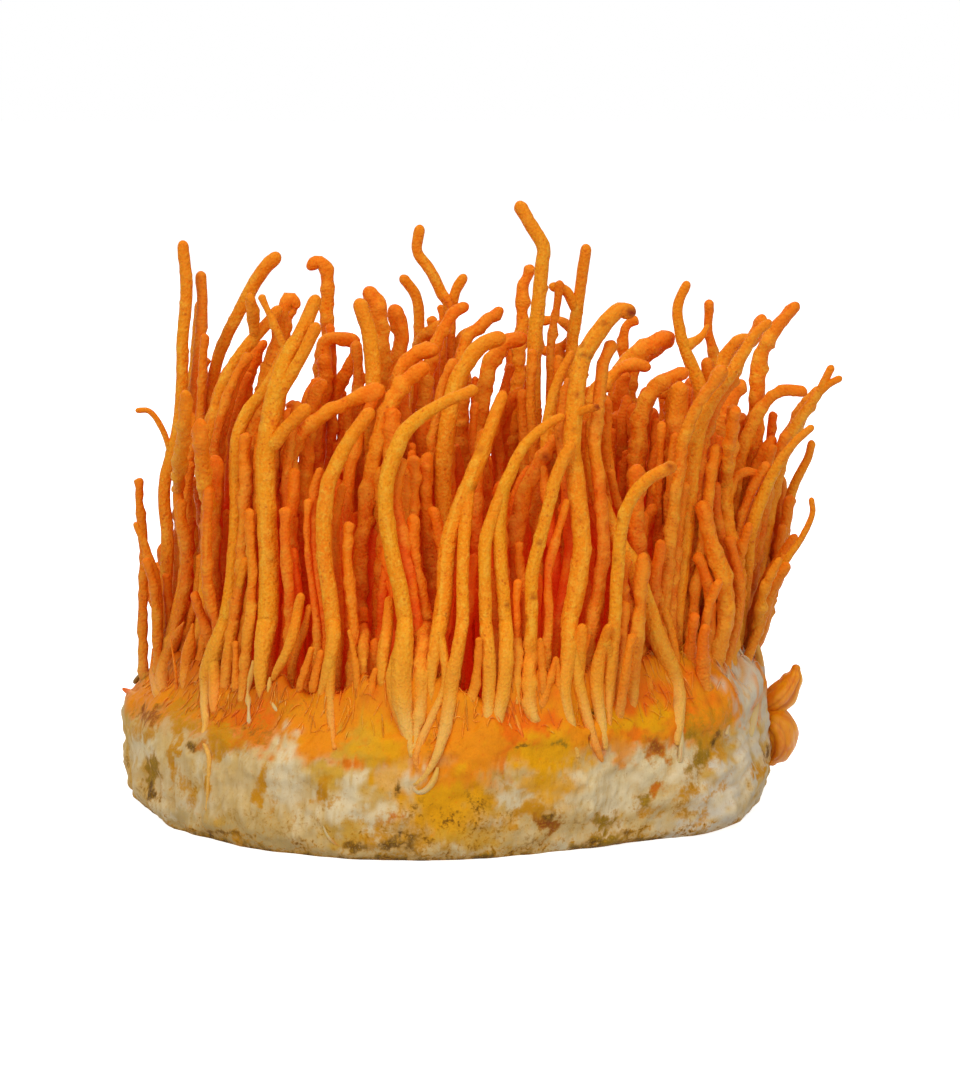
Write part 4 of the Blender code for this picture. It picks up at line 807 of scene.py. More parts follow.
# The felt of mycelium round the cake
cakeFelt = {
    "frontColumns": 430,
    "backColumns": 220,
    "rowStep": 0.34,
    "topSteps": (0.45, 2.0, 33),
    "undersideRings": (14.0, 28.0, 38.0),
    "pixelsPerMm": 7.4,                # of the picture, on the cake's front
    "lumps": ((6.5, 0.75), (2.7, 0.55), (1.3, 0.28), (0.75, 0.13)),      # size and height
    # bulges of the side: turn in degrees, height, spread of both, and how far out
    "bulges": (
        (326, 3.0, 9, 3.2, 1.3), (312, 1.6, 5, 2.0, 0.8), (338, 5.5, 5, 2.6, 0.8), (303, 1.0, 3, 1.6, 0.6),
        (214, 9.0, 5, 3.0, 0.5), (205, 3.5, 6, 2.5, 0.5), (232, 2.0, 8, 2.0, 0.5), (262, 1.6, 6, 1.6, 0.5),
        (20, 4.0, 8, 4.0, 0.7), (60, 9.0, 9, 4.0, 0.7), (95, 3.0, 9, 3.0, 0.8), (135, 7.0, 9, 4.0, 0.8),
        (165, 3.0, 7, 3.0, 0.6),
    ),
    # how the brushed felt leans, in degrees, by place across the picture
    "brushLean": ((150, 98), (280, 86), (400, 82), (560, 62), (640, 44), (740, 58)),
    "combing": 0.12,
    "standing": 38.2,                  # how far out the front feet stand
    "footMound": (0.9, 1.9),           # height and reach of the mound round a foot
    "topLumps": ((5.0, 0.5), (1.9, 0.45), (0.9, 0.3)),
    # crust that rises between the feet: how far out, how wide, its height further in, and its height by turn
    "crust": (36.7, 2.6, 1.5),
    "crustHeights": (
        (0, 4.2), (60, 3.6), (120, 4.0), (180, 4.2), (215, 4.6), (240, 4.6), (256, 5.4), (272, 6.3), (288, 6.1),
        (302, 5.4), (330, 4.8), (360, 4.2),
    ),
    # mycelium that climbs the stems' feet on the right: turn, reach in degrees, height
    "climb": ((342.0, 16.0, 3.2), (325.0, 8.0, 2.0), (0.0, 12.0, 2.6)),
}


def cakeProfile():
    # radius, height and share of the outline, from the underside's edge up to the flat of the top
    radius, high = cakeForm["radius"], cakeForm["height"]
    curve = smoothCurve(np.array([
        (cakeForm["undersideRadius"], 0.0, 1.0),
        (radius - 0.4, cakeForm["lowerEdge"], 1.0),
        (radius, 3.6, 0.95),
        (radius, 8.0, 0.75),
        (radius - 0.1, high - cakeForm["upperEdge"] - 0.6, 0.55),
        (radius - 0.8, high - 0.5 * cakeForm["upperEdge"], 0.4),
        (cakeForm["topRadius"] + 1.1, high - 0.35, 0.2),
        (cakeForm["topRadius"], high, 0.0),
    ]))
    run = lengthsAlong(curve * (1.0, 1.0, 0.0))
    return atLengths(curve, run, np.linspace(0.0, run[-1], int(run[-1] / cakeFelt["rowStep"])))


def byTurn(turns, table):
    # turns are in radians, and the table is (degrees, value)
    return np.interp(np.degrees(turns) % 360.0, *np.array(table).T)


sideRows = cakeProfile()


def crustHeight(places):
    ring, wide, within = cakeFelt["crust"]
    high = byTurn(np.arctan2(places[:, 1], places[:, 0]), cakeFelt["crustHeights"])
    flat = places * (1.0, 1.0, 0.0)
    reach = np.hypot(places[:, 0], places[:, 1])
    hump = np.exp(-(((reach - ring) / wide) ** 2))
    hump = np.where(reach < ring, np.maximum(hump, within / high), hump)
    rugged = 1.0 + 0.3 * softNoise(flat, 4.6, 62) + 0.28 * softNoise(flat, 1.7, 63)
    return high * hump * rugged


# How a route in the picture is laid on the front
onFront = {
    "depths": (-47.0, 6.0, 0.15),     # first, last and step of those that are tried
    "past": 0.5,              # how far past the rim the crust still counts
    "beyond": 60.0,           # more than any reach
    "narrowing": 0.1,         # of the ring of feet, for each millimetre above the cake
    "smoothing": 3.0,
    "radius": 43.0,
    "rounding": (12.0, 17.0), # heights between which the way out turns upwards
    "upwards": 0.5,
}


def layOnFront(route):
    # where the eye first meets the cake, or the ring of feet above it, along a route in the picture;
    # with the way out of the cake there, the widths and the share of the route
    across, up, widths = fromPicture(route)
    depths = np.arange(*onFront["depths"])
    found = []
    for one, other in zip(across, up):
        tried = fromFrontView(one, other, depths)
        reach = np.hypot(tried[:, 0], tried[:, 1])
        above = tried[:, 2] - cakeForm["height"]
        limit = np.interp(tried[:, 2], sideRows[:, 1], sideRows[:, 0])
        turns = np.arctan2(tried[:, 1], tried[:, 0])
        limit += np.interp(tried[:, 2], sideRows[:, 1], sideRows[:, 2]) * byTurn(turns, cakeForm["outline"])
        limit[above > 0] = 0.0
        crusted = tried[:, 2] < cakeForm["height"] + crustHeight(tried)
        limit[crusted & (reach < cakeForm["topRadius"] + onFront["past"])] = onFront["beyond"]
        limit = np.maximum(limit, cakeFelt["standing"] - onFront["narrowing"] * above)
        inside = reach < limit
        found.append(tried[np.argmax(inside)] if inside.any() else tried[np.argmin(reach - limit)])
    places = blurred(np.array(found), onFront["smoothing"])
    upwards = onFront["upwards"] * smoothStep(places[:, 2], *onFront["rounding"])
    out = unit(np.column_stack([places[:, :2] / onFront["radius"], upwards]))
    return places, out, widths, np.linspace(0.0, 1.0, len(places))


# How the stems' flesh is made: knobs are small warts, wander is how far and how often a stem sways
flesh = {
    "stemStep": 0.46,
    "mesh": {"traced": {"sides": 16, "step": 0.46}, "filling": {"sides": 10, "step": 0.68}},
    "dome": 1.25,             # length of the rounded tip, in tip radii
    "tipReach": 0.75,         # how far the tip goes past the end of its route, in tip radii
    "settleBlur": 2.2,
    "settleReach": 3.0,       # length over which a foot is brought back to its place
    "footHeld": 5.0,          # length over which it stops wandering
    "joining": {"shoot": 2.5, "leg": 3.0},    # length over which each bends to its lead stem
    "slimmest": 0.84,
    "burial": 14.2,           # height in the cake at which a foot ends
    "flare": 0.16,            # how much a foot widens, in its own radii
    "lobes": 0.12,            # how far that goes in and out round the foot
    "flareHeight": 1.3,
    "knobRate": 0.9,          # warts for each square millimetre
    "knobReach": 2.6,         # in their own sizes
    "knobbyFrom": 0.8,        # radius from which they are full
    "markDepth": 0.12,
    "markedSide": 0.35,       # how far back round a stem marks go
    "tones": {"front": (0.0, 0.55), "traced": (0.2, 0.8), "filling": (0.4, 1.0)},
    # how much painted red shade each stem takes, by how deep in the thicket it stands
    "inwards": {"traced": (0.15, 0.5), "filling": (0.5, 1.0)},
    "warm": 0.3,              # how much painted red shade a filling stem has at least, as it stands inside the thicket
    # size of each relief, and how it is stretched along the stem
    "relief": (
        ("lumps", 1.7, (1.0, 1.0, 1.0)), ("ridges", 0.8, (1.0, 1.0, 0.15)), ("beads", 1.5, (0.35, 0.35, 1.0)),
        ("grain", 0.6, (1.0, 1.0, 1.0)),
    ),
    "front": {
        "girth": 0.88,
        "wander": (0.1, 7.0, 0.05, 2.6),
        "lumps": 0.04, "ridges": 0.06, "beads": 0.012, "grain": 0.04,
        "knobs": 0.7, "knobSizes": (0.2, 0.42), "knobHeights": (0.02, 0.09), "pits": 0.05,
    },
    "inner": {
        "girth": 0.93,
        "wander": (0.28, 8.0, 0.1, 3.0),
        "lumps": 0.055, "ridges": 0.06, "beads": 0.035, "grain": 0.05,
        "knobs": 1.0, "knobSizes": (0.28, 0.56), "knobHeights": (0.06, 0.26), "pits": 0.08,
    },
}

# Where the flesh is painted red as shade: strongest low in the middle of the thicket, where the stems shade each
# other most, and weaker towards its rim, top and back
redShade = {
    "radius": 40.5,
    "inside": (1.5, 11.0),
    "height": (-46.0, -14.0),         # above the cake, counted downwards
    "back": (0.0, 16.0),
    "lost": 0.3,              # at the back
}

# Slender stems that stand in the free room beside the others, each following one of its own tuft
slender = {
    "each": {"front": 3, "inner": 4, "back": 2},      # for each stem of a tuft
    "most": 10,
    "tries": 9,
    "apart": (1.5, 3.6),
    "lean": (-0.4, 1.4),
    "margin": 0.15,
    "heights": (0.45, 0.94),
    "widths": (1.0, 1.75),
    "taper": ((0.0, 0.8, 1.0), (1.0, 0.92, 0.8)),
    "sides": 8,
    "step": 0.85,
    "seed": 17,
}

# Smaller stems, side branches and arches of the upper thicket, as the picture shows them: the depth in
# millimetres, then x, y and width in pixels from the tip down. Each grows out of the stem nearest its end.
twigs = (
    (-16, "241 287 9, 241 300 11, 238 320 8"),
    (-14, "257 288 5, 263 302 6, 269 315 6, 275 330 6"),
    (-6, "299 306 10, 293 302 11, 287 312 10, 284 328 10, 282 350 10, 280 380 10"),
    (-4, "283 326 15, 281 345 17, 275 366 16, 268 390 14, 262 420 13"),
    (-2, "264 343 8, 256 352 12, 248 372 14, 243 402 15, 240 445 15, 240 490 14"),
    (-24, "185 394 10, 185 412 12, 183 432 12, 179 458 12, 176 490 11"),
    (-26, "196 422 11, 195 440 13, 192 470 13, 190 510 12"),
    (-14, "171 405 9, 172 415 10, 176 430 10, 181 446 9"),
    (-12, "322 384 11, 314 393 12, 308 412 12, 303 445 12"),
    (2, "326 359 14, 327 380 14, 322 412 14, 320 450 14"),
    (4, "357 341 10, 346 339 13, 334 338 12, 326 345 12, 324 366 14, 322 400 14, 320 440 13"),
    (0, "358 352 9, 352 365 10, 344 380 12, 337 396 13, 332 424 12"),
    (-6, "362 395 12, 350 420 12, 344 450 12"),
    (6, "444 325 10, 433 331 13, 422 338 12, 416 350 12"),
    (6, "486 323 9, 472 331 9, 462 338 10, 457 352 12, 452 376 14, 448 405 14"),
    (8, "523 326 10, 514 337 9, 504 344 9, 494 352 10"),
    (8, "544 321 10, 555 319 8, 566 323 8, 574 332 8"),
    (9, "544 351 10, 555 349 9, 564 344 8, 572 336 8"),
    (4, "513 350 13, 513 380 16, 512 412 15, 511 450 14"),
    (-10, "506 393 9, 502 410 11, 497 430 12, 492 460 12"),
    (-8, "521 390 10, 513 398 11, 507 415 11, 503 440 11"),
    (6, "470 372 12, 472 400 14, 470 440 14"),
    (8, "670 341 12, 657 347 14, 645 357 14, 635 368 12, 629 392 12, 627 420 12"),
    (6, "705 327 5, 699 337 7, 690 343 8, 681 349 9"),
    (6, "706 362 11, 708 385 16, 705 412 16, 700 445 16"),
    (4, "752 336 9, 742 340 12, 734 350 12, 728 366 13, 722 390 14"),
    (0, "626 376 11, 622 395 14, 620 422 14, 618 460 13"),
    (-4, "663 396 9, 670 390 10, 678 394 10, 677 415 12, 674 445 12"),
    (-20, "737 409 8, 733 426 10, 729 452 10, 726 485 10"),
    (-8, "762 476 6, 750 472 7, 739 477 8, 733 488 9, 730 514 10"),
    (2, "818 390 9, 808 404 13, 798 420 15, 788 440 15, 777 466 14, 768 500 13"),
    (0, "760 428 10, 752 448 13, 746 480 13, 742 520 13"),
    (-4, "775 440 10, 766 462 12, 758 492 12, 752 530 12"),
    (-16, "607 402 8, 606 420 9, 604 450 9, 602 490 9"),
    (-18, "380 470 8, 378 490 10, 376 530 10, 374 580 10"),
    (-22, "403 470 9, 405 500 10, 406 540 11, 406 600 11"),
    (-20, "424 466 8, 424 490 10, 422 530 11, 421 590 11"),
    (-12, "455 448 7, 448 443 8, 441 449 9, 439 475 10"),
    (-24, "250 560 7, 246 590 8, 240 625 9"),
    (-10, "596 430 10, 594 455 11, 592 490 11"),
    (-10, "634 440 10, 632 470 12, 630 510 12"),
    (-14, "655 470 9, 652 500 11, 650 550 11"),
    (-16, "780 560 6, 770 580 8, 762 606 9, 760 636 10"),
)


def ofKind(tufts, *kinds):
    return [plan for plans in tufts for plan in plans if plan["kind"] in kinds]


def addTo(plans, kind, line, radii, build, order):
    plans.append({"kind": kind, "fine": line, "fineRadii": radii, "build": flesh[build],
                  "tuft": plans[0]["tuft"], "order": order})


def addTwigs(tufts):
    stems = ofKind(tufts, "stem", "leg", "filling")
    lines = np.vstack([plan["fine"] for plan in stems])
    owners = np.concatenate([np.full(len(plan["fine"]), k) for k, plan in enumerate(stems)])
    right, down = inPicture(lines)
    for number, (depth, route) in enumerate(twigs):
        route = routeOf(route)
        across, up, widths = fromPicture(route)
        places = fromFrontView(across, up, np.full(len(up), float(depth)))
        run = lengthsAlong(places)
        aside = np.hypot(right - route[-1][0], down - route[-1][1]) * eye["mmPerPixel"]
        pick = int((aside + 0.5 * np.abs(lines[:, 1] - depth)).argmin())
        places += (lines[pick] - places[-1]) * np.exp((run - run[-1]) / 7.0)[:, None]
        home = tufts[stems[owners[pick]]["tuft"]]
        addTo(home, "twig", places, 0.5 * widths / flesh["inner"]["girth"], "inner", 40 + number)


# How the front stems' feet run down over the crust, as the picture shows them: x, y and width in pixels.
# A foot is the lower end of the stem behind its first point, a toe branches off one, and a pin stands alone.
frontFeet = (
    ("foot", "155 646 13, 157 680 11, 160 695 10, 163 704 4"),
    ("foot", "188 620 12, 172 650 13, 164 680 14, 166 702 8"),
    ("foot", "196 622 15, 192 650 15, 187 675 11, 183 692 5"),
    ("foot", "228 622 16, 220 645 17, 212 670 18, 209 690 13, 206 710 9, 207 725 6, 203 740 4, 209 752 4, 210 766 4, "
             "208 792 3, 206 815 2"),
    ("toe", "216 655 10, 205 678 7, 200 688 3"),
    ("toe", "224 660 12, 219 695 12, 214 718 5"),
    ("foot", "266 622 15, 263 650 15, 262 680 12, 262 702 6"),
    ("foot", "299 612 10, 292 645 10, 280 668 8, 271 682 4"),
    ("foot", "334 622 12, 335 645 13, 329 670 11, 323 690 8, 318 712 3"),
    ("toe", "334 655 11, 331 690 9, 331 712 8, 333 735 5, 335 752 3"),
    ("foot", "369 625 11, 366 650 9, 362 682 6"),
    ("foot", "386 625 12, 383 660 12, 381 690 8"),
    ("foot", "405 620 15, 405 640 17, 402 670 20, 402 695 20, 405 720 16, 410 742 9, 412 760 4"),
    ("toe", "401 640 13, 394 670 13, 393 692 13, 399 716 11, 405 736 6"),
    ("foot", "423 622 11, 420 650 12, 421 680 12, 420 710 10, 417 735 7, 412 757 3"),
    ("foot", "441 622 16, 434 655 12, 430 688 8, 433 712 4"),
    ("toe", "442 638 14, 447 662 9, 447 685 8, 440 702 8, 429 725 8, 420 745 7, 415 762 5, 421 774 3"),
    ("foot", "460 622 11, 457 655 12, 451 682 14, 450 702 14, 446 725 12, 440 748 9, 432 766 6, 420 782 5, "
             "413 785 3"),
    ("foot", "488 622 12, 489 660 13, 489 700 12, 487 725 10, 483 748 5"),
    ("foot", "506 622 13, 506 660 14, 503 690 14, 499 715 11, 495 742 5"),
    ("foot", "517 622 8, 516 680 8, 517 708 5"),
    ("foot", "530 622 12, 529 660 13, 528 698 13, 532 716 11, 538 725 6"),
    ("foot", "574 622 15, 569 660 14, 563 690 12, 569 720 10, 575 745 7, 579 760 4"),
    ("toe", "577 640 12, 577 675 13, 582 700 11, 590 730 9, 597 750 7, 604 764 3"),
    ("foot", "607 622 14, 600 650 13, 595 680 14, 598 710 11, 603 735 8, 606 752 4"),
    ("toe", "609 640 11, 612 662 11, 608 700 8, 609 725 5, 607 744 3"),
    ("foot", "640 622 15, 655 646 17, 668 672 18, 675 700 17, 676 725 11, 678 748 4"),
    ("foot", "700 630 7, 703 665 8, 709 690 8, 709 711 5"),
    ("foot", "728 612 9, 731 650 9, 733 690 8, 730 718 5"),
    ("pin", "349 629 3, 353 648 4, 357 672 5, 357 694 5"),
    ("pin", "313 646 4, 306 670 6, 298 694 6"),
    ("pin", "479 636 4, 478 665 7, 474 690 8, 470 712 8"),
    ("pin", "540 636 4, 542 670 6, 543 698 6"),
    ("pin", "557 655 4, 548 685 6, 541 712 6"),
    ("pin", "556 655 4, 559 690 6, 562 712 6"),
    ("pin", "650 664 3, 648 684 5, 652 704 5"),
    ("pin", "590 634 3, 584 648 5, 579 668 6"),
    ("pin", "236 640 4, 237 665 6, 236 694 8"),
    ("pin", "322 650 4, 318 668 6, 312 694 8"),
    ("pin", "376 668 4, 372 684 6, 370 700 8"),
)
feetForm = {
    "lift": 0.2,              # how far a foot's middle stands out, in its own widths
    "sunk": 0.15,             # how far its end lies in, likewise
    "joining": 3.0,           # length over which it bends over to its stem
    "furthest": 12.0,         # pixels between a foot's first point and its stem
    "spared": 6.0,            # pixels that a filling stem counts as further away
}


def footPlaces(route):
    # the way down over the crust, from the top, with radii and lengths in millimetres
    places, out, widths, share = layOnFront(route)
    lift = widths * (feetForm["lift"] - (feetForm["lift"] + feetForm["sunk"]) * smoothStep(share, 0.8, 1.0))
    places = places + out * lift[:, None]
    run = lengthsAlong(places)
    even = np.append(np.arange(0.0, run[-1], flesh["stemStep"]), run[-1])
    return atLengths(places, run, even), np.interp(even, run, 0.5 * widths) / flesh["front"]["girth"], even


def runFeetDown(tufts):
    stems = ofKind(tufts, "stem", "leg", "filling")
    for number, (kind, route) in enumerate(frontFeet):
        route = routeOf(route)
        places, radii, run = footPlaces(route)
        if kind == "pin":
            nearest = min(stems, key=lambda plan: np.hypot(*(plan["line"][-1] - places[-1])[:2]))
            addTo(tufts[nearest["tuft"]], "pin", places, radii, "inner", 90 + number)
            continue
        best = (math.inf,)
        for plan in stems:
            # a foot takes a stem that has none yet, and a toe one that has
            if plan["fine"][-1][1] > -20.0 or (kind == "toe") != plan.get("ranDown", False):
                continue
            right, down = inPicture(plan["fine"])
            away = np.hypot(right - route[0][0], down - route[0][1])
            score = away.min() + (feetForm["spared"] if plan["kind"] == "filling" else 0.0)
            if score < best[0]:
                best = (score, int(away.argmin()), plan)
        score, pick, plan = best
        home = tufts[plan["tuft"]]
        fade = np.exp(-run / feetForm["joining"])[:, None]
        moved = places + (plan["fine"][pick] - places[0]) * fade
        if score > feetForm["furthest"]:
            addTo(home, "pin", places, radii * smoothStep(run, -1.5, 5.0), "front", 90 + number)
        elif kind == "toe":
            addTo(home, "toe", moved[::-1], radii[::-1], "front", 90 + number)
        else:
            thick = radii + (plan["fineRadii"][pick] - radii[0]) * fade[:, 0]
            plan["fine"] = np.vstack([plan["fine"][:pick], moved])
            plan["fineRadii"] = np.concatenate([plan["fineRadii"][:pick], thick])
            plan["ranDown"] = True


# Small young shoots round each tuft's foot
pins = {
    "each": {"front": 3, "inner": 5, "back": 7},
    "around": (1.5, 4.8),
    "margin": 0.1,
    "heights": (2.0, 12.0),
    "shortness": 1.7,         # the larger, the more of them are short
    "lean": 0.16,
    "outwards": 0.05,
    "wander": (0.35, 5.0, 0.1, 2.5),
    "widths": (0.3, 0.68),
    "taper": ((0.0, 0.4, 1.0), (0.55, 0.9, 1.25)),
    # the least painted red shade of the young shoots, low among the feet
    "warm": 0.42,
    "sides": 6,
    "step": 0.7,
    "seed": 7,
}

# Spots on the skin, by tuft: across and down in the picture, size in pixels and depth of colour
marks = {
    "stem_centre_thick": (
        (632, 313, 5, 1.0), (604, 323, 3, 0.8), (582, 345, 3, 0.7), (583, 355, 3, 0.8), (590, 357, 3, 0.7),
        (565, 382, 4, 0.9), (577, 395, 3, 0.6), (597, 407, 4, 1.0), (574, 430, 3, 0.5), (580, 520, 3, 0.5),
    ),
    "tuft_front_inner_paired": ((547, 457, 4, 0.8), (540, 470, 3, 0.5)),
    "stem_front_slender": ((540, 543, 3, 0.8), (533, 597, 3, 0.8), (526, 619, 3, 0.7)),
    "stem_front_arched": ((507, 605, 3, 0.7), (497, 470, 3, 0.4)),
    "stem_front_right_arched": ((670, 466, 4, 0.8), (618, 520, 3, 0.5), (615, 560, 3, 0.5)),
    "stem_front_split": ((480, 450, 4, 0.4), (476, 488, 4, 0.4)),
    "stem_centre_leg": ((672, 700, 5, 0.5), (592, 440, 3, 0.5)),
    "stem_left_forked": ((260, 420, 4, 0.4), (271, 560, 3, 0.4)),
}


def fineLine(plan, step):
    # the whole route again, moved as its few points settled
    curve, keptRun = plan["curve"], plan["keptRun"]
    run = lengthsAlong(curve)
    even = np.linspace(0.0, run[-1], max(12, int(round(run[-1] / step))))
    moved = atLengths(plan["line"] - plan["firstLine"], keptRun, even)
    line = atLengths(curve, run, even) + blurred(moved, flesh["settleBlur"] / even[1])
    line += (plan["line"][-1] - line[-1]) * np.exp((even - even[-1]) / flesh["settleReach"])[:, None]
    slim = np.interp(even, keptRun, plan["radii"] / plan["firstRadii"])
    slim = np.maximum(blurred(slim[:, None], flesh["settleBlur"] / even[1])[:, 0], flesh["slimmest"])
    radii = 0.5 * np.interp(even / even[-1], (0.0, rooting["tipShare"]), plan["widths"]) * slim
    return even, line, radii


def wander(run, amounts, seed):
    wide, wideSize, narrow, narrowSize = amounts
    offs = []
    for axis in range(3):
        where = np.column_stack([run, np.full(len(run), 13.7 * seed), np.full(len(run), 31.1 * axis)])
        offs.append(wide * softNoise(where, wideSize, 21) + narrow * softNoise(where, narrowSize, 22))
    return np.stack(offs, axis=1)


def sideways(ways):
    # a way square to each step of a path, turning as little as it can
    side = np.array([1.0, 0.0, 0.0]) if abs(ways[0][0]) < 0.8 else np.array([0.0, 1.0, 0.0])
    found = np.empty_like(ways)
    for place, way in enumerate(ways):
        side = side - way * side.dot(way)
        side = side / math.sqrt(side.dot(side))
        found[place] = side
    return found


def knobsOn(lie, along, radius, sides, build, chance):
    # warts and a few pits, as heights in millimetres
    area = 2 * math.pi * float(np.mean(radius)) * along[-1]
    count = int(area * flesh["knobRate"] * build["knobs"])
    raised = np.zeros(len(lie))
    rings = chance.integers(3, len(along), count)
    corners = chance.integers(0, sides, count)
    centres = lie[rings * sides + corners]
    sizes = chance.uniform(*build["knobSizes"], count)
    heights = chance.uniform(*build["knobHeights"], count)
    heights *= np.where(chance.random(count) < build["pits"], -1.0, 1.0)
    for centre, size, height in zip(centres, sizes, heights):
        near = np.flatnonzero(np.abs(lie[:, 2] - centre[2]) < flesh["knobReach"] * size)
        apart = ((lie[near] - centre) ** 2).sum(axis=1)
        raised[near] += height * np.exp(-0.5 * apart / size**2)
    return raised


def fleshed(path, radii, sides, step, seed, build, look):
    # one closed stem, domed at its first end; look holds its tone, how deep in the thicket it stands, which sets its
    # painted red shade, its marks and how much of that painted red shade it has at least, and whether its foot flares
    chance = np.random.default_rng([91, seed])
    radii = radii * build["girth"]
    run = lengthsAlong(path)
    dome = flesh["dome"] * radii[0]
    rounding = dome * (1 - np.cos(np.linspace(0.0, math.pi / 2, 6)[1:]))
    shank = np.arange(dome + step, run[-1] - 0.4 * step, step)
    along = np.concatenate([rounding, shank, run[-1:]])
    centres = atLengths(path, run, along)
    closing = np.sqrt(1.0 - (1.0 - np.minimum(along / dome, 1.0)) ** 2)
    radius = np.interp(along, run, radii) * closing
    ways = unit(np.gradient(centres, axis=0))
    side = sideways(ways)
    other = np.cross(ways, side)
    turns = np.arange(sides) * 2 * math.pi / sides
    cosines, sines = np.cos(turns), np.sin(turns)
    outward = side[:, None, :] * cosines[None, :, None] + other[:, None, :] * sines[None, :, None]
    around = np.stack([radius[:, None] * cosines, radius[:, None] * sines], axis=-1)
    lie = np.concatenate([around, np.broadcast_to(along[:, None, None], (*around.shape[:2], 1))], axis=-1)
    lie = lie.reshape(-1, 3)
    off = chance.uniform(0.0, 90.0, 3)
    relief = np.zeros(len(lie))
    for seedOn, (label, size, stretch) in enumerate(flesh["relief"]):
        relief += build[label] * softNoise((lie + off) * stretch, size, 31 + seedOn)
    high = np.repeat(centres[:, 2], sides) - cakeForm["height"]
    if look["rooted"]:
        spread = np.exp(-np.maximum(high, 0.0) / flesh["flareHeight"])
        lobes = np.cos(np.tile(turns, len(along)) * chance.integers(3, 6) + chance.uniform(0.0, 6.0))
        relief += spread * (flesh["flare"] + flesh["lobes"] * lobes)
    knobs = knobsOn(lie, along, radius, sides, build, chance)
    knobs *= np.repeat(closing * np.minimum(1.0, radius / flesh["knobbyFrom"]), sides)
    grown = np.repeat(radius, sides) * (1.0 + relief) + knobs
    points = np.repeat(centres, sides, axis=0) + outward.reshape(-1, 3) * grown[:, None]
    spots = np.zeros(len(points))
    facing = outward.reshape(-1, 3)[:, 1] < flesh["markedSide"]
    if look["marks"]:
        right, down = inPicture(points)
        for x, y, size, depth in look["marks"]:
            away = np.hypot(right - x, down - y) + 0.3 * size * softNoise(points, 0.5, 35)
            spots = np.maximum(spots, depth * np.where(facing, np.exp(-((away / size) ** 2)), 0.0))
        points -= outward.reshape(-1, 3) * (flesh["markDepth"] * spots)[:, None]
    points = np.vstack([points, path[:1], centres[-1:]])
    # painted shade: the flesh is made red where it stands low, deep in the thicket and inside the rim, as light
    # bounced between the stems makes it look
    red = look["inner"] * smoothStep(redShade["radius"] - np.hypot(points[:, 0], points[:, 1]), *redShade["inside"])
    red = red * smoothStep(cakeForm["height"] - points[:, 2], *redShade["height"])
    red = red * (1.0 - redShade["lost"] * smoothStep(points[:, 1], *redShade["back"]))
    values = {
        "lie": np.vstack([lie, [0.0, 0.0, 0.0], [0.0, 0.0, run[-1]]]) + off,
        "fromTip": np.append(np.repeat(along, sides), [0.0, run[-1]]),
        "aboveCake": np.append(high, [centres[0, 2] - cakeForm["height"], -1.0]),
        "knob": np.append(knobs / build["knobHeights"][1], [0.0, 0.0]),
        "mark": np.append(spots, [0.0, 0.0]),
        "tone": np.full(len(points), look["tone"]),
        "inner": np.maximum(red, look["warm"]),
    }
    return points, *tubeFaces(len(along), sides), values


def fineStems(one, plans):
    # the whole centre lines of a tuft's stems, with side shoots and legs on the first
    for plan in plans:
        front = one["name"].startswith("stem_") and plan["kind"] != "filling"
        run, line, plan["fineRadii"] = fineLine(plan, flesh["stemStep"])
        held = 1.0 - np.exp((run - run[-1]) / flesh["footHeld"])
        plan["build"] = flesh["front" if front else "inner"]
        line = line + wander(run, plan["build"]["wander"], plan["tuft"] * 20 + plan["order"]) * held[:, None]
        if plan["kind"] in tiedEnds:
            end = line[tiedEnds[plan["kind"]]]
            lead = plans[0]["fine"]
            fade = (run - run[-1] if plan["kind"] == "shoot" else -run) / flesh["joining"][plan["kind"]]
            line += (lead[np.linalg.norm(lead - end, axis=1).argmin()] - end) * np.exp(fade)[:, None]
        plan["fine"] = line


def standing(one, plans):
    # whether a tuft stands in front, inside or at the back
    if plans[0]["line"][-1][1] < -26:
        return "front"
    return "inner" if one["members"] else "back"


def wayOut(chance, kind, margin):
    # a level way from a stem: any one, but never forwards from a front stem
    turn = chance.uniform(0.0, 2 * math.pi)
    if kind == "front":
        turn = chance.uniform(margin, math.pi - margin)
    return np.array([math.cos(turn), math.sin(turn), 0.0])


def addSlender(described, tufts):
    # each tries a few places beside a stem of its tuft, and takes the one with the most room
    taken = np.vstack([plan["fine"][::4] for plans in tufts for plan in plans])
    thick = np.concatenate([plan["fineRadii"][::4] for plans in tufts for plan in plans])
    for one, plans in zip(described, tufts):
        chance = np.random.default_rng([slender["seed"], plans[0]["tuft"]])
        kind = standing(one, plans)
        stems = ofKind([plans], "stem", "filling")
        for number in range(min(slender["most"], slender["each"][kind] * len(stems))):
            guide = stems[number % len(stems)]["fine"]
            height = chance.uniform(*slender["heights"])
            width = chance.uniform(*slender["widths"])
            kept = guide[:, 2] < cakeForm["height"] + height * (guide[:, 2].max() - cakeForm["height"])
            line = guide[int(np.argmax(kept)):]
            if len(line) < 20:
                continue
            share = np.linspace(1.0, 0.0, len(line))[:, None]
            sway = wander(lengthsAlong(line), flesh["inner"]["wander"], 300 + number) * share
            most = -math.inf
            for _ in range(slender["tries"]):
                way = wayOut(chance, kind, slender["margin"])
                off = way * chance.uniform(*slender["apart"]) + way * share * chance.uniform(*slender["lean"])
                tried = line + off + sway
                away = np.linalg.norm(tried[::4, None, :] - taken[None, :, :], axis=2) - thick[None, :]
                outside = np.hypot(tried[-1, 0], tried[-1, 1]) - (cakeForm["topRadius"] - width)
                room = np.sort(away.min(axis=1))[: max(2, len(tried) // 12)].mean() - max(0.0, outside)
                if room > most:
                    most, best = room, tried
            best[-1] = insideRim(best[-1], width)
            radii = 0.5 * width * np.interp(share[:, 0], *slender["taper"])
            addTo(plans, "slender", best, radii, "inner", 30 + number)
            taken = np.vstack([taken, best[::4]])
            thick = np.concatenate([thick, radii[::4]])


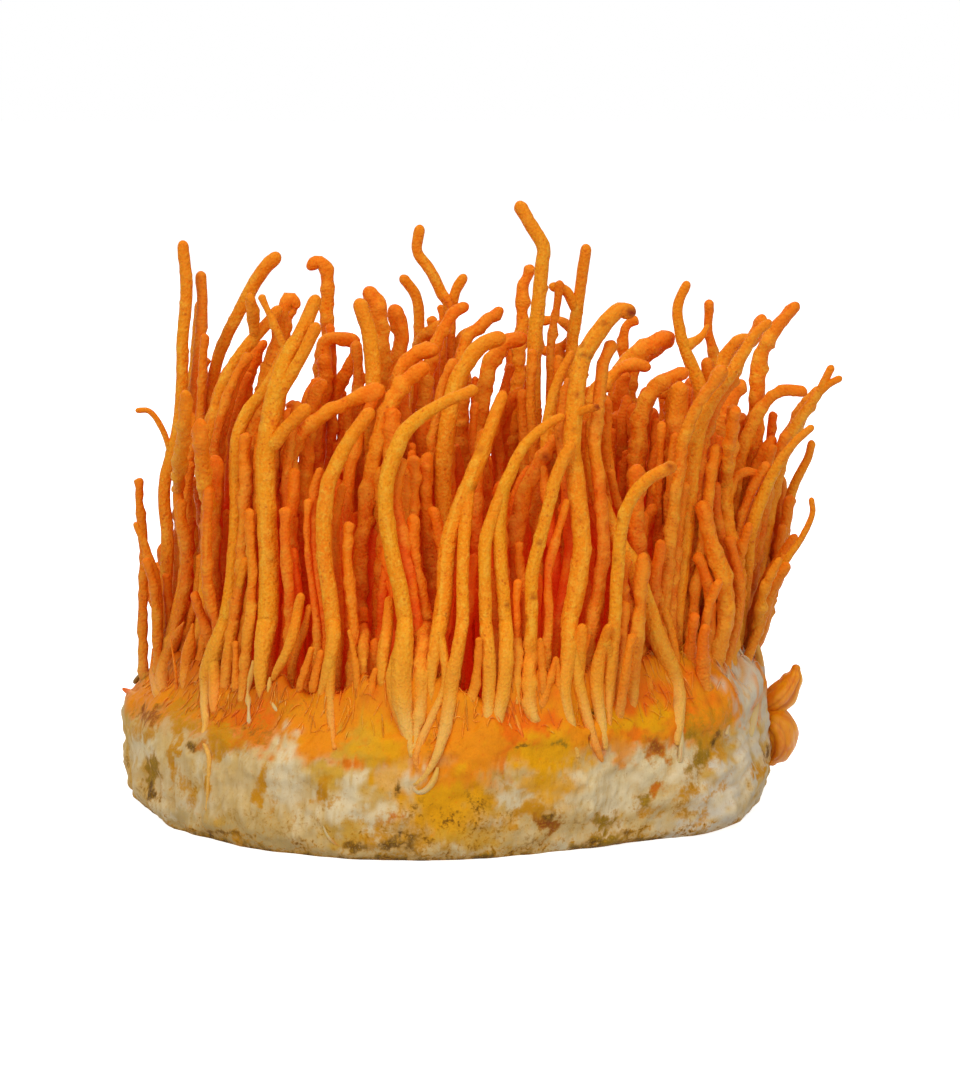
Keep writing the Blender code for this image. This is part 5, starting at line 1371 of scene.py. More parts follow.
def fleshStem(one, plan):
    kind = plan["kind"]
    front = one["name"].startswith("stem_")
    traced = kind not in ("filling", "slender", "pin")
    group = "traced" if traced else "filling"
    seed = plan["tuft"] * 150 + plan["order"]
    chance = np.random.default_rng([55, seed])
    path, radii = plan["fine"], plan["fineRadii"]
    if kind != "toe":
        tip = path[0] + unit(path[0] - path[2]) * flesh["tipReach"] * radii[0]
        path, radii = np.vstack([tip, path]), np.append(radii[0], radii)
    rooted = kind not in ("shoot", "toe", "pin", "twig") and not plan.get("ranDown", False)
    if rooted:
        path = np.vstack([path, [path[-1, 0], path[-1, 1], flesh["burial"]]])
        radii = np.append(radii, radii[-1])
    look = {"rooted": rooted, "marks": marks.get(one["name"], ()) if traced else ()}
    look["warm"] = 0.0 if traced else flesh["warm"]
    if front and (plan["order"] == 0 or traced and kind != "stem"):
        look.update(tone=chance.uniform(*flesh["tones"]["front"]), inner=0.0)
    else:
        look.update(tone=chance.uniform(*flesh["tones"][group]), inner=chance.uniform(*flesh["inwards"][group]))
    mesh = slender if kind == "slender" else flesh["mesh"][group]
    return fleshed(path, radii, mesh["sides"], mesh["step"], seed, plan["build"], look)


def growPins(one, plans):
    chance = np.random.default_rng([pins["seed"], plans[0]["tuft"]])
    foot = plans[0]["line"][-1]
    kind = standing(one, plans)
    parts = []
    for count in range(pins["each"][kind]):
        way = wayOut(chance, kind, pins["margin"])
        away = chance.uniform(*pins["around"])
        low, high = pins["heights"]
        height = low + (high - low) * chance.random() ** pins["shortness"]
        width = chance.uniform(*pins["widths"])
        start = insideRim(foot + away * way, width)
        start[2] = flesh["burial"]
        lean = chance.uniform(-pins["lean"], pins["lean"], 2) * height
        lean += pins["outwards"] * height * start[:2] / 40.0
        tip = start + np.array([lean[0], lean[1], height + cakeForm["height"] - flesh["burial"]])
        share = np.linspace(0.0, 1.0, max(8, int(height / pins["step"])))[:, None]
        path = tip * (1 - share) + start * share
        path = path + wander(share[:, 0] * height, pins["wander"], 900 + count) * (1 - share)
        radii = 0.5 * width * np.interp(share[:, 0], *pins["taper"])
        look = {"rooted": True, "tone": chance.uniform(0.3, 1.0), "inner": chance.uniform(0.7, 1.0)}
        look.update(marks=(), warm=pins["warm"])
        seed = 5000 + plans[0]["tuft"] * 20 + count
        parts.append(fleshed(path, radii, pins["sides"], pins["step"], seed, flesh["inner"], look))
    return parts


for one, plans in zip(described, tufts):
    fineStems(one, plans)
addSlender(described, tufts)
addTwigs(tufts)
runFeetDown(tufts)
report(f"{sum(len(plans) for plans in tufts)} stems with the slender ones")


# Skin of the stems
skins = {
    "ochre": {
        "pale": linear(250, 154, 18), "deep": linear(252, 130, 9),
        "bright": linear(255, 182, 52), "pit": linear(214, 84, 6),
    },
    "orange": {
        "pale": linear(252, 144, 12), "deep": linear(252, 116, 5),
        "bright": linear(255, 172, 44), "pit": linear(226, 62, 0),
    },
    # red painted as shade deep in the thicket
    "red": linear(224, 58, 2),
    "foot": linear(244, 166, 50),
    "footEnd": linear(240, 186, 94),
    "spot": linear(146, 34, 3),
    "speck": linear(190, 70, 6),
    "glow": {"Subsurface Weight": 0.12, "Subsurface Radius": (1.0, 0.3, 0.05), "Subsurface Scale": 0.0012},
    "paintedGlow": linear(104, 14, 1),         # painted glow deep in the thicket, where the stems shade each other: red bounced light, given as emission
}


def skinPaint(name, tones):
    paint = Paint(name, {**skins["glow"], "Specular IOR Level": 0.11, "Emission Strength": 1.0})
    lie = paint.stored("lie", 1)
    tone, inner, knob, fromTip, high = (
        paint.stored(label) for label in ("tone", "inner", "knob", "fromTip", "aboveCake"))
    broad = paint.noise(lie, 4.0, 2.0)
    streaks = paint.noise(paint.stretched(lie, (1.0, 1.0, 0.1)), 0.8, 2.0)
    fine = paint.noise(lie, 0.45, 3.0, 0.65)
    pebbles = paint.cells(lie, 0.42)
    specks = paint.between(paint.cells(lie, 1.1), 0.22, 0.1) * paint.between(broad, 0.46, 0.56)
    # pale granules, and a painted highlight on the tops of the warts
    grain = paint.between(fine, 0.5, 0.66) * 0.55 + paint.between(knob, 0.15, 0.9) * 0.45
    grain = grain + paint.between(pebbles, 0.3, 0.05) * paint.between(broad, 0.4, 0.6) * 0.7
    outer = paint.between(inner, 0.5, 0.1)
    foot = paint.between(high + (streaks - 0.5) * 16.0, 15.0, 2.0) * outer
    footEnd = paint.between(high + (streaks - 0.5) * 6.0, 5.5, 0.3) * outer
    paint.feed("Base Color", paint.layered(
        tones["pale"],
        (tone * 0.8 + (broad - 0.5) * 1.6, tones["deep"]),
        (paint.between(streaks, 0.52, 0.72) * 0.5, tones["bright"]),
        (grain, tones["bright"]),
        # painted shade: red where the stem stands deep in the thicket
        (inner * (0.55 + paint.between(broad, 0.35, 0.6) * 0.45), skins["red"]),
        (paint.between(knob, -0.2, -0.9) * 0.6 + paint.between(fine, 0.43, 0.28) * 0.6, tones["pit"]),
        (specks * 0.5, skins["speck"]),
        (foot * 0.75, skins["foot"]),
        (footEnd * 0.7, skins["footEnd"]),
        (paint.between(fromTip, 9.0, 0.5) * 0.55, tones["deep"]),
        (paint.stored("mark"), skins["spot"]),
    ))
    paint.feed("Roughness", 0.46 + fine * 0.26)
    # painted glow: the flesh glows red where its painted shade is deepest, though it is no lamp
    paint.feed("Emission Color", paint.mixed(paint.between(inner, 0.3, 0.85), (0.0, 0.0, 0.0), skins["paintedGlow"]))
    paint.raised(fine * 0.7 + (1.0 - pebbles) * 0.5 + streaks * 0.3, 0.26, 1.0)
    paint.material.cycles.emission_sampling = "NONE"       # a glow to be seen, and no lamp
    return paint.material


skinMaterials = {slot: skinPaint(f"{slot}Skin", skins[slot]) for slot in ("ochre", "orange")}
triangles = 0
for one, plans in zip(described, tufts):
    finish = "ochre" if one["name"].startswith("stem_") else "orange"
    parts = [fleshStem(one, plan) for plan in plans] + growPins(one, plans)
    points, quads, corners, values = joined(parts)
    triangles += 2 * len(quads) + len(corners)
    makePiece(f"{one['name']}_flesh", points, quads, corners, values, skinMaterials[finish],
              [one["name"]], f"stem_{finish}")
report(f"stems fleshed out in {triangles} triangles")


# Tones and patches of the cake's felt
feltTones = {
    "cream": linear(214, 180, 120),
    "white": linear(231, 208, 164),
    "ash": linear(214, 199, 174),
    "grey": linear(186, 154, 92),
    "yellow": linear(230, 158, 6),
    "straw": linear(208, 156, 44),
    "ochre": linear(206, 136, 8),
    "orange": linear(236, 138, 14),
    "red": linear(236, 106, 8),
    "rust": linear(204, 106, 14),
    "blood": linear(150, 30, 4),
    "brown": linear(156, 76, 8),
    "olive": linear(152, 112, 12),
    "dark": linear(92, 58, 8),
}
# Patches that the front shows: middle across and down in the picture, half width, half height, all in
# pixels, then lean in degrees, tone and strength. Later ones lie over the earlier ones.
frontPatches = (
    (165, 745, 45, 70, 0, "cream", 0.8), (143, 752, 15, 16, 0, "white", 0.9), (270, 790, 70, 60, 0, "cream", 0.9),
    (240, 832, 90, 22, 8, "grey", 0.7), (165, 700, 44, 24, 0, "orange", 1.0), (155, 712, 16, 8, 0, "blood", 0.6),
    (150, 690, 20, 10, 0, "orange", 1.0), (245, 705, 3, 2, 20, "blood", 1.0), (258, 702, 6, 2, 25, "blood", 0.9),
    (257, 711, 3, 3, 0, "blood", 1.0), (246, 730, 4, 2, 30, "blood", 0.9), (260, 726, 6, 2, 20, "blood", 0.8),
    (257, 737, 3, 3, 0, "blood", 0.9), (432, 740, 4, 26, 14, "blood", 0.7), (512, 728, 2, 12, -30, "blood", 0.8),
    (592, 738, 2, 14, 4, "blood", 0.9), (592, 713, 5, 8, 0, "dark", 0.9), (700, 690, 22, 16, 0, "orange", 1.0),
    (700, 722, 26, 16, 0, "olive", 0.5), (142, 676, 8, 6, -20, "olive", 1.0), (150, 714, 15, 9, 0, "brown", 0.85),
    (146, 730, 17, 8, 0, "ochre", 0.6), (184, 706, 20, 9, 0, "ochre", 0.7), (232, 704, 16, 8, 0, "rust", 0.9),
    (206, 722, 12, 6, 0, "brown", 0.5), (300, 706, 24, 9, 0, "rust", 0.6), (185, 722, 24, 10, 0, "ochre", 0.8),
    (215, 712, 22, 22, 0, "orange", 0.95), (222, 735, 22, 20, 0, "ochre", 0.8), (150, 774, 7, 20, -6, "olive", 0.9),
    (154, 795, 6, 9, -20, "dark", 0.8), (175, 757, 4, 30, 8, "ochre", 0.75), (186, 790, 4, 22, -20, "ochre", 0.5),
    (191, 745, 4, 8, 0, "dark", 0.7), (200, 748, 5, 5, 0, "rust", 0.9), (209, 776, 3, 22, 3, "ochre", 0.85),
    (200, 782, 5, 30, 2, "white", 0.7), (219, 818, 10, 10, 0, "straw", 0.6), (256, 716, 20, 26, 0, "red", 0.8),
    (256, 728, 14, 12, 10, "brown", 0.55), (264, 783, 6, 27, 12, "ochre", 0.85), (276, 790, 3, 20, 8, "ochre", 0.6),
    (288, 772, 17, 38, -6, "white", 1.0), (312, 728, 22, 34, 0, "orange", 1.0), (312, 748, 9, 16, 0, "orange", 0.8),
    (340, 728, 22, 28, 0, "orange", 1.0), (332, 772, 22, 20, 0, "straw", 0.9), (368, 745, 22, 34, 12, "straw", 1.0),
    (382, 740, 26, 30, 0, "yellow", 0.7), (392, 762, 18, 36, 0, "yellow", 0.7), (322, 795, 6, 16, 8, "ochre", 0.8),
    (341, 806, 12, 13, 0, "white", 0.9), (372, 800, 18, 14, 0, "straw", 0.7), (350, 832, 26, 9, 0, "straw", 0.8),
    (420, 700, 50, 40, 0, "orange", 0.9), (440, 785, 34, 40, 0, "orange", 1.0), (478, 745, 36, 56, 0, "orange", 1.0),
    (412, 832, 44, 22, 0, "ochre", 0.95), (470, 828, 40, 22, 0, "ochre", 0.85), (490, 835, 24, 16, 0, "olive", 0.5),
    (399, 790, 3, 13, 3, "dark", 1.0), (407, 811, 9, 3, 25, "dark", 0.8), (396, 818, 14, 4, -8, "rust", 0.9),
    (400, 828, 16, 5, 0, "cream", 0.7), (352, 846, 14, 6, 20, "dark", 0.7), (398, 840, 17, 9, -10, "dark", 0.85),
    (412, 850, 14, 5, 10, "dark", 0.6), (438, 822, 8, 10, 30, "straw", 0.7), (452, 824, 9, 8, 0, "rust", 0.6),
    (229, 833, 24, 2.6, 1, "dark", 0.8), (242, 843, 4, 10, -40, "ochre", 0.7), (173, 829, 12, 5, 25, "olive", 0.5),
    (450, 812, 60, 34, 0, "yellow", 0.95), (470, 838, 50, 12, 0, "straw", 0.7), (548, 755, 46, 30, 0, "yellow", 1.0),
    (560, 790, 40, 20, -12, "yellow", 0.6), (535, 722, 42, 18, 0, "red", 0.9), (520, 746, 12, 3, 0, "dark", 0.6),
    (559, 747, 10, 5, -8, "olive", 0.8), (540, 785, 30, 14, 0, "yellow", 0.8), (518, 800, 18, 7, -18, "white", 1.0),
    (500, 812, 20, 6, -15, "straw", 0.6), (538, 812, 20, 12, 0, "ochre", 0.9), (490, 812, 14, 10, 0, "olive", 0.4),
    (602, 798, 46, 34, -20, "white", 1.0), (575, 822, 22, 18, 0, "cream", 0.9), (544, 826, 11, 11, -30, "brown", 1.0),
    (548, 816, 6, 4, 0, "dark", 0.8), (602, 822, 20, 7, -10, "olive", 0.85), (607, 838, 30, 8, -6, "olive", 0.9),
    (632, 831, 5, 4, 0, "dark", 0.9), (590, 842, 10, 4, 0, "dark", 0.5), (642, 722, 36, 15, 0, "yellow", 0.95),
    (640, 694, 34, 14, 0, "red", 0.9), (620, 745, 16, 16, 20, "orange", 0.8), (668, 768, 30, 14, 0, "white", 0.95),
    (660, 749, 16, 12, 0, "rust", 0.95), (657, 749, 7, 5, 20, "brown", 0.8), (657, 788, 15, 11, 0, "white", 0.6),
    (658, 789, 13, 10, 0, "rust", 1.0), (641, 800, 7, 9, 0, "olive", 0.7), (648, 812, 14, 6, 0, "ochre", 0.6),
    (706, 742, 22, 24, 10, "ochre", 0.95), (694, 760, 9, 24, 5, "olive", 0.5), (717, 737, 6, 6, 0, "dark", 0.8),
    (690, 796, 12, 16, 30, "ochre", 0.8), (683, 810, 8, 12, 30, "ochre", 0.55), (735, 792, 34, 60, 22, "ash", 1.0),
    (750, 690, 22, 56, -6, "ash", 1.0), (700, 826, 40, 16, -8, "ash", 0.9), (712, 800, 3, 26, 40, "ochre", 0.5),
    (726, 780, 2, 16, 25, "ochre", 0.4), (700, 822, 3, 14, 40, "ochre", 0.5), (735, 690, 2, 30, -5, "orange", 0.8),
    (746, 684, 2, 28, -5, "yellow", 0.6), (757, 704, 2, 30, -3, "orange", 0.6), (728, 716, 3, 20, 10, "ochre", 0.5),
    (765, 750, 6, 9, 10, "dark", 0.75), (759, 770, 9, 11, 20, "ochre", 0.9), (745, 800, 12, 16, 30, "grey", 0.6),
)
# The sides that the front doesn't show have patches of the same kinds: how many, half widths and half
# heights in millimetres, tone and strength
hiddenPatches = {
    "seed": 12,
    "kinds": (
        (26, (3.0, 8.0), (2.5, 6.0), "white", 0.9), (10, (3.0, 7.0), (2.0, 5.0), "yellow", 0.9),
        (16, (0.7, 2.4), (0.8, 3.0), "ochre", 0.8), (8, (1.5, 4.0), (2.0, 5.0), "orange", 0.9),
        (22, (0.4, 0.9), (1.5, 4.0), "ochre", 0.7), (8, (1.0, 2.2), (0.8, 1.8), "brown", 0.8),
        (12, (0.6, 2.4), (0.4, 1.2), "dark", 0.8), (14, (1.0, 3.2), (0.6, 1.4), "olive", 0.8),
    ),
}


def cakeColumns():
    front = np.linspace(180.0, 360.0, cakeFelt["frontColumns"], endpoint=False)
    back = np.linspace(0.0, 180.0, cakeFelt["backColumns"], endpoint=False)
    return np.radians(np.concatenate([front, back]))


feet = np.array([plan["fine"][-1][:2] for plans in tufts for plan in plans if plan["kind"] != "shoot"])


def lumpy(points, lumps, seed):
    return sum(height * softNoise(points, size, seed + k) for k, (size, height) in enumerate(lumps))


def cakeAt(turns, rows):
    # the cake's skin at these turns and profile rows, and the way out of it
    reach = rows[:, 0] + rows[:, 2] * byTurn(turns, cakeForm["outline"])
    points = np.column_stack([reach * np.cos(turns), reach * np.sin(turns), rows[:, 1]])
    upward = smoothStep(rows[:, 1], 11.5, 14.9) ** 2
    flat = np.sqrt(1.0 - upward**2)
    out = np.column_stack([flat * np.cos(turns), flat * np.sin(turns), upward])
    raised = lumpy(points, cakeFelt["lumps"], 41) * (1.0 - upward) + lumpy(points, cakeFelt["topLumps"], 51) * upward

    def aside(middle):
        return (np.degrees(turns) - middle + 180.0) % 360.0 - 180.0

    inward = np.exp(-(((reach - 39.5) / 3.2) ** 2))
    rugged = 1.0 + 0.45 * softNoise(points, 1.6, 61)
    for middle, spread, height in cakeFelt["climb"]:
        raised += height * np.exp(-((aside(middle) / spread) ** 2)) * inward * upward * rugged
    raised += crustHeight(points) * upward
    for middle, high, spread, tall, push in cakeFelt["bulges"]:
        raised += push * np.exp(-((aside(middle) / spread) ** 2) - ((rows[:, 1] - high) / tall) ** 2)
    raised *= smoothStep(rows[:, 1], -0.5, 0.8)
    points = points + out * raised[:, None]
    points[:, 2] = np.maximum(points[:, 2], 0.0)
    return points, out


def addFootMounds(points):
    high, reach = cakeFelt["footMound"]
    flat = np.flatnonzero(points[:, 2] > cakeForm["height"] - 2.5)
    nearest = np.full(len(flat), 99.0)
    for foot in feet:
        nearest = np.minimum(nearest, np.hypot(*(points[flat, :2] - foot).T))
    points[flat, 2] += high * np.exp(-((nearest / reach) ** 2))


crispTones = ("dark", "brown", "blood", "olive", "ochre", "rust")


def paintPatch(layers, across, up, patch, unitSize, warp, drift, weight):
    # soft tones go into the felt itself, and crisp ones into the stains that lie over it
    x, y, halfWide, halfHigh, lean, tone, strength = patch
    cosine, sine = math.cos(math.radians(lean)), math.sin(math.radians(lean))
    small, large = sorted((halfWide, halfHigh))
    right, rise = across - x, up - y
    reach = large * 1.9 + 6 * unitSize
    near = np.flatnonzero((np.abs(right) < reach) & (np.abs(rise) < reach) & (weight > 0))
    shift = min((small + 0.12 * large) * 0.75, 1.3 * unitSize)
    right = right[near] + shift * drift[0][near]
    rise = rise[near] + shift * drift[1][near]
    along = (right * cosine + rise * sine) / halfWide
    beside = (rise * cosine - right * sine) / halfHigh
    thin = small / unitSize
    edge = np.hypot(along, beside) + warp[near] * min(1.0, 0.25 + 0.3 / thin + 0.12 * min(thin, 3.0))
    share = strength * (1.0 - smoothStep(edge, 0.3, 1.45)) * weight[near]
    if tone in crispTones:
        tinted = np.clip(2.2 * share, 0.0, 1.0)[:, None]
        layers["stain"][near] = layers["stain"][near] * (1.0 - tinted) + feltTones[tone] * tinted
        layers["stained"][near] = np.maximum(layers["stained"][near], share)
    else:
        layers["stained"][near] *= 1.0 - 0.8 * share
        share = (strength * (1.0 - smoothStep(edge, 0.5, 1.2)) * weight[near])[:, None]
        layers["felt"][near] = layers["felt"][near] * (1.0 - share) + feltTones[tone] * share


def washed(colours, *washes):
    # each wash is its share and its tone
    for share, tone in washes:
        share = np.clip(share, 0.0, 1.0)[:, None]
        colours = colours * (1.0 - share) + feltTones[tone] * share
    return colours


def paintedCake(points, turns):
    # the colours of the felt, with shade and light painted into the hollows and humps of its lumps, its stains and
    # its grit at these places, and how far it is combed out
    tones = feltTones
    high = points[:, 2]
    reach = np.hypot(points[:, 0], points[:, 1])
    right, down = inPicture(points)
    pixels = cakeFelt["pixelsPerMm"]
    shown = (1.0 - smoothStep(points[:, 1], -2.0, 8.0)) * smoothStep(reach, 33.0, 37.0)
    girth = cakeForm["radius"] * ((turns + math.pi / 2) % (2 * math.pi))
    lean = np.radians(np.interp(right, *np.array(cakeFelt["brushLean"]).T))
    lean = lean * shown + math.radians(84) * (1.0 - shown)
    across = right / pixels * shown + girth * (1.0 - shown)
    rise = -down / pixels * shown + high * (1.0 - shown)
    flow = across * np.cos(lean) + rise * np.sin(lean)
    aside = rise * np.cos(lean) - across * np.sin(lean)
    brushed = np.column_stack([flow * 0.16, aside, 0.0 * flow])
    streaks = softNoise(brushed, 0.55, 80) + 0.7 * softNoise(brushed, 0.28, 83)
    warp = 0.5 * softNoise(points, 2.4, 71) + 0.5 * softNoise(points, 1.0, 72) + 0.25 * streaks
    drift = [softNoise(points, 1.7, seed) + 0.8 * softNoise(points, 0.8, seed + 1) for seed in (90, 93)]
    cloud = softNoise(points, 7.0, 74) + 0.6 * softNoise(points, 3.0, 75)
    crumbly = softNoise(points, 1.3, 86) + 0.6 * softNoise(points, 0.6, 87) + 0.5 * cloud
    humps = softNoise(points, 2.7, 42)         # the same as in the shape of the side
    crust = smoothStep(high + 1.5 * warp + 0.8 * cloud, 12.0, 14.0)
    colours = tones["cream"] + (tones["white"] - tones["cream"]) * smoothStep(cloud, -0.3, 0.6)[:, None]
    colours = washed(
        colours,
        (0.8 * smoothStep(softNoise(points, 9.0, 76) + 0.5 * warp, 0.05, 0.6), "straw"),
        (0.3 * smoothStep(streaks, 0.3, 1.1), "straw"),
        (0.6 * smoothStep(crumbly, 0.3, 1.2), "straw"),
        # painted shade and light: the felt is washed grey in the hollows of its lumps and white on their humps
        (0.6 * smoothStep(-humps, 0.2, 1.0), "grey"),
        (0.5 * smoothStep(humps, 0.3, 1.0), "white"),
        (crust, "orange"),
        (0.7 * crust * smoothStep(softNoise(points, 3.4, 78) + 0.3 * warp, 0.0, 0.5), "red"),
        (0.6 * crust * smoothStep(softNoise(points, 4.4, 79) + 0.3 * warp, 0.25, 0.6), "yellow"),
        (0.6 * crust * smoothStep(softNoise(points, 1.1, 70) + 0.5 * warp, 0.35, 0.8), "rust"),
        (0.7 * crust * smoothStep(300.0 - right + 40.0 * warp, 0.0, 60.0) * shown, "rust"),
        (0.95 * smoothStep(38.5 - reach + 2.0 * warp, 0.0, 4.0) * (high > 12.0), "red"),
    )
    stained = 0.55 * smoothStep(softNoise(points * (1.0, 1.0, 0.4), 1.9, 77) + 0.4 * warp, 0.45, 0.9) * (1.0 - crust)
    layers = {"felt": colours, "stain": np.tile(tones["ochre"], (len(points), 1)), "stained": stained}
    chance = np.random.default_rng(hiddenPatches["seed"])
    hidden = smoothStep(points[:, 1], -6.0, 6.0)
    for count, wides, highs, tone, strength in hiddenPatches["kinds"]:
        for _ in range(count):
            x, y = chance.uniform(0.2, 2 * math.pi - 0.2) * cakeForm["radius"], chance.uniform(0.0, 13.5)
            y *= 0.3 if tone in ("olive", "dark") else 1.0
            size = (chance.uniform(*wides), chance.uniform(*highs))
            patch = (x, y, *size, chance.uniform(-25.0, 25.0), tone, strength)
            paintPatch(layers, girth, high, patch, 1.0, warp, drift, hidden)
    for patch in frontPatches:
        paintPatch(layers, right, down, patch, pixels, warp, drift, shown)
    # the ragged lower edge, where the felt is stained and thin
    low = 0.85 * smoothStep(1.7 - high + 1.8 * warp, 0.0, 2.2)
    layers["stained"] = np.maximum(layers["stained"], low)
    tinted = smoothStep(low, 0.1, 0.5)[:, None] * (1.0 - smoothStep(layers["stained"] - low, 0.0, 0.3)[:, None])
    edging = tones["olive"] + (tones["dark"] - tones["olive"]) * smoothStep(0.7 - high + warp, 0.0, 1.0)[:, None]
    layers["stain"] = layers["stain"] * (1.0 - tinted) + edging * tinted
    pale = smoothStep(layers["felt"][:, 2], 0.1, 0.24)
    colours = washed(layers["felt"], (0.4 * pale * smoothStep(streaks, 0.1, 0.7), "white"),
                     (0.3 * pale * smoothStep(-streaks, 0.2, 0.9), "straw"))
    layers["felt"] = colours
    layers["wet"] = np.clip((colours[:, 0] - colours[:, 2] * 1.6) * 1.5 - 0.2, 0.0, 1.0)
    layers["grit"] = layers["wet"] * smoothStep(9.0 - high + 2.5 * cloud, 0.0, 4.0)
    layers["grit"] = np.maximum(layers["grit"], smoothStep(2.6 - high + 1.6 * warp, 0.0, 2.0))
    layers["combed"] = streaks * (0.3 + 0.7 * pale) * smoothStep(high, 0.4, 2.0) * (1.0 - 0.6 * crust)
    return layers


def feltPaint():
    paint = Paint("myceliumFelt", {"Specular IOR Level": 0.08})
    where = paint.inMillimetres()
    clouds = paint.noise(where, 3.2, 2.0, 0.6, 0.5)
    fibres = paint.noise(paint.stretched(where, (1.0, 1.0, 0.22)), 0.6, 3.0, 0.65, 1.2)
    fine = paint.noise(where, 0.4, 2.0, 0.7)
    crumbs = paint.cells(where, 0.9)
    mottle = paint.noise(where, 0.8, 4.0, 0.75, 0.3)
    wet, grit = paint.stored("wet"), paint.stored("grit")
    edged = paint.stored("stained") + (mottle - 0.5) * 0.9 + (fine - 0.5) * 0.9
    gritty = mottle * 0.55 + clouds * 0.45 + (fine - 0.5) * 0.25
    stain = paint.mixed(paint.between(fine, 0.5, 0.7) * 0.5, paint.stored("stain", 0), feltTones["straw"])
    paint.feed("Base Color", paint.layered(
        paint.stored("felt", 0),
        (paint.between(mottle, 0.6, 0.75) * wet * 0.5, feltTones["yellow"]),
        (paint.between(mottle, 0.42, 0.3) * wet * 0.45, feltTones["red"]),
        (paint.between(clouds, 0.35, 0.7) * 0.3, linear(236, 214, 176), "SOFT_LIGHT"),
        (paint.between(fibres, 0.42, 0.25) * 0.3, linear(206, 160, 90), "MULTIPLY"),
        (paint.between(fine, 0.38, 0.22) * 0.35, linear(186, 134, 70), "MULTIPLY"),
        (paint.between(fibres, 0.58, 0.75) * 0.22 * (1.0 - wet), linear(238, 220, 180)),
        (paint.between(edged, 0.05, 0.5) * 0.45, feltTones["ochre"]),
        (paint.between(edged, 0.25, 0.85) * 0.96, stain),
        (paint.between(gritty, 0.5, 0.6) * grit * 0.75, feltTones["ochre"]),
        (paint.between(gritty, 0.56, 0.66) * grit * 0.85, feltTones["dark"]),
    ))
    paint.feed("Roughness", 0.86 - wet * 0.26 - fine * 0.1)
    paint.raised(fibres * 0.5 + fine * 0.3 + clouds * 0.5 + (1.0 - crumbs) * wet * 0.5, 0.35, 0.6)
    return paint.material


def growCake():
    turns = cakeColumns()
    columns = len(turns)
    side = cakeProfile()
    first, last, count = cakeFelt["topSteps"]
    inward = cakeForm["topRadius"] - np.cumsum(np.linspace(first, last, count))
    inward = inward[inward > 1.0]
    top = np.column_stack([inward, np.full(len(inward), cakeForm["height"]), np.zeros(len(inward))])
    rows = np.vstack([side, top])
    everyTurn = np.tile(turns, len(rows))
    points, _ = cakeAt(everyTurn, np.repeat(rows, columns, axis=0))
    addFootMounds(points)
    layers = paintedCake(points, everyTurn)
    points[:, :2] *= (1.0 + cakeFelt["combing"] * layers.pop("combed") / cakeForm["radius"])[:, None]
    under = cakeFelt["undersideRings"]
    reach = np.repeat(under, columns)
    aroundUnder = np.tile(turns, len(under))
    underside = np.column_stack([reach * np.cos(aroundUnder), reach * np.sin(aroundUnder), 0.0 * reach])
    peak = points[-columns:, 2].mean()
    points = np.vstack([underside, points, [[0.0, 0.0, 0.0], [0.0, 0.0, peak]]])
    # what each layer has under the cake, and at the middles of its underside and of its top
    ends = {
        "felt": (feltTones["grey"] * 0.8, feltTones["grey"], feltTones["red"]),
        "stain": (feltTones["olive"], feltTones["olive"], feltTones["red"]),
        "stained": (0.3, 0.3, 0.0), "wet": (0.0, 0.0, 0.5), "grit": (0.0, 0.0, 0.0),
    }
    values = {}
    for label, (below, bottom, top) in ends.items():
        values[label] = np.concatenate([np.array([below] * len(underside)), layers[label], [bottom, top]])
    return points, *tubeFaces(len(under) + len(rows), columns), values


def feltPlaces(turns, along):
    # places on the cake by turn and by distance over its skin, from the lower edge up and inwards
    rows = np.vstack([sideRows, [cakeForm["topRadius"] - 12.0, cakeForm["height"], 0.0]])
    run = lengthsAlong(rows * (1.0, 1.0, 0.0))
    points, out = cakeAt(turns, atLengths(rows, run, np.clip(along, 0.0, run[-1])))
    addFootMounds(points)
    return points, out


# Loose fibres that lie over the crust and the felt
fibres = {
    "seed": 29,
    "count": 1500,
    "where": (15.2, 22.5),        # distance over the cake's skin from its lower edge
    "lengths": (0.9, 2.6),
    "arch": 0.3,
    "widths": (0.06, 0.12),
    "steps": 6,
    "sides": 4,
}


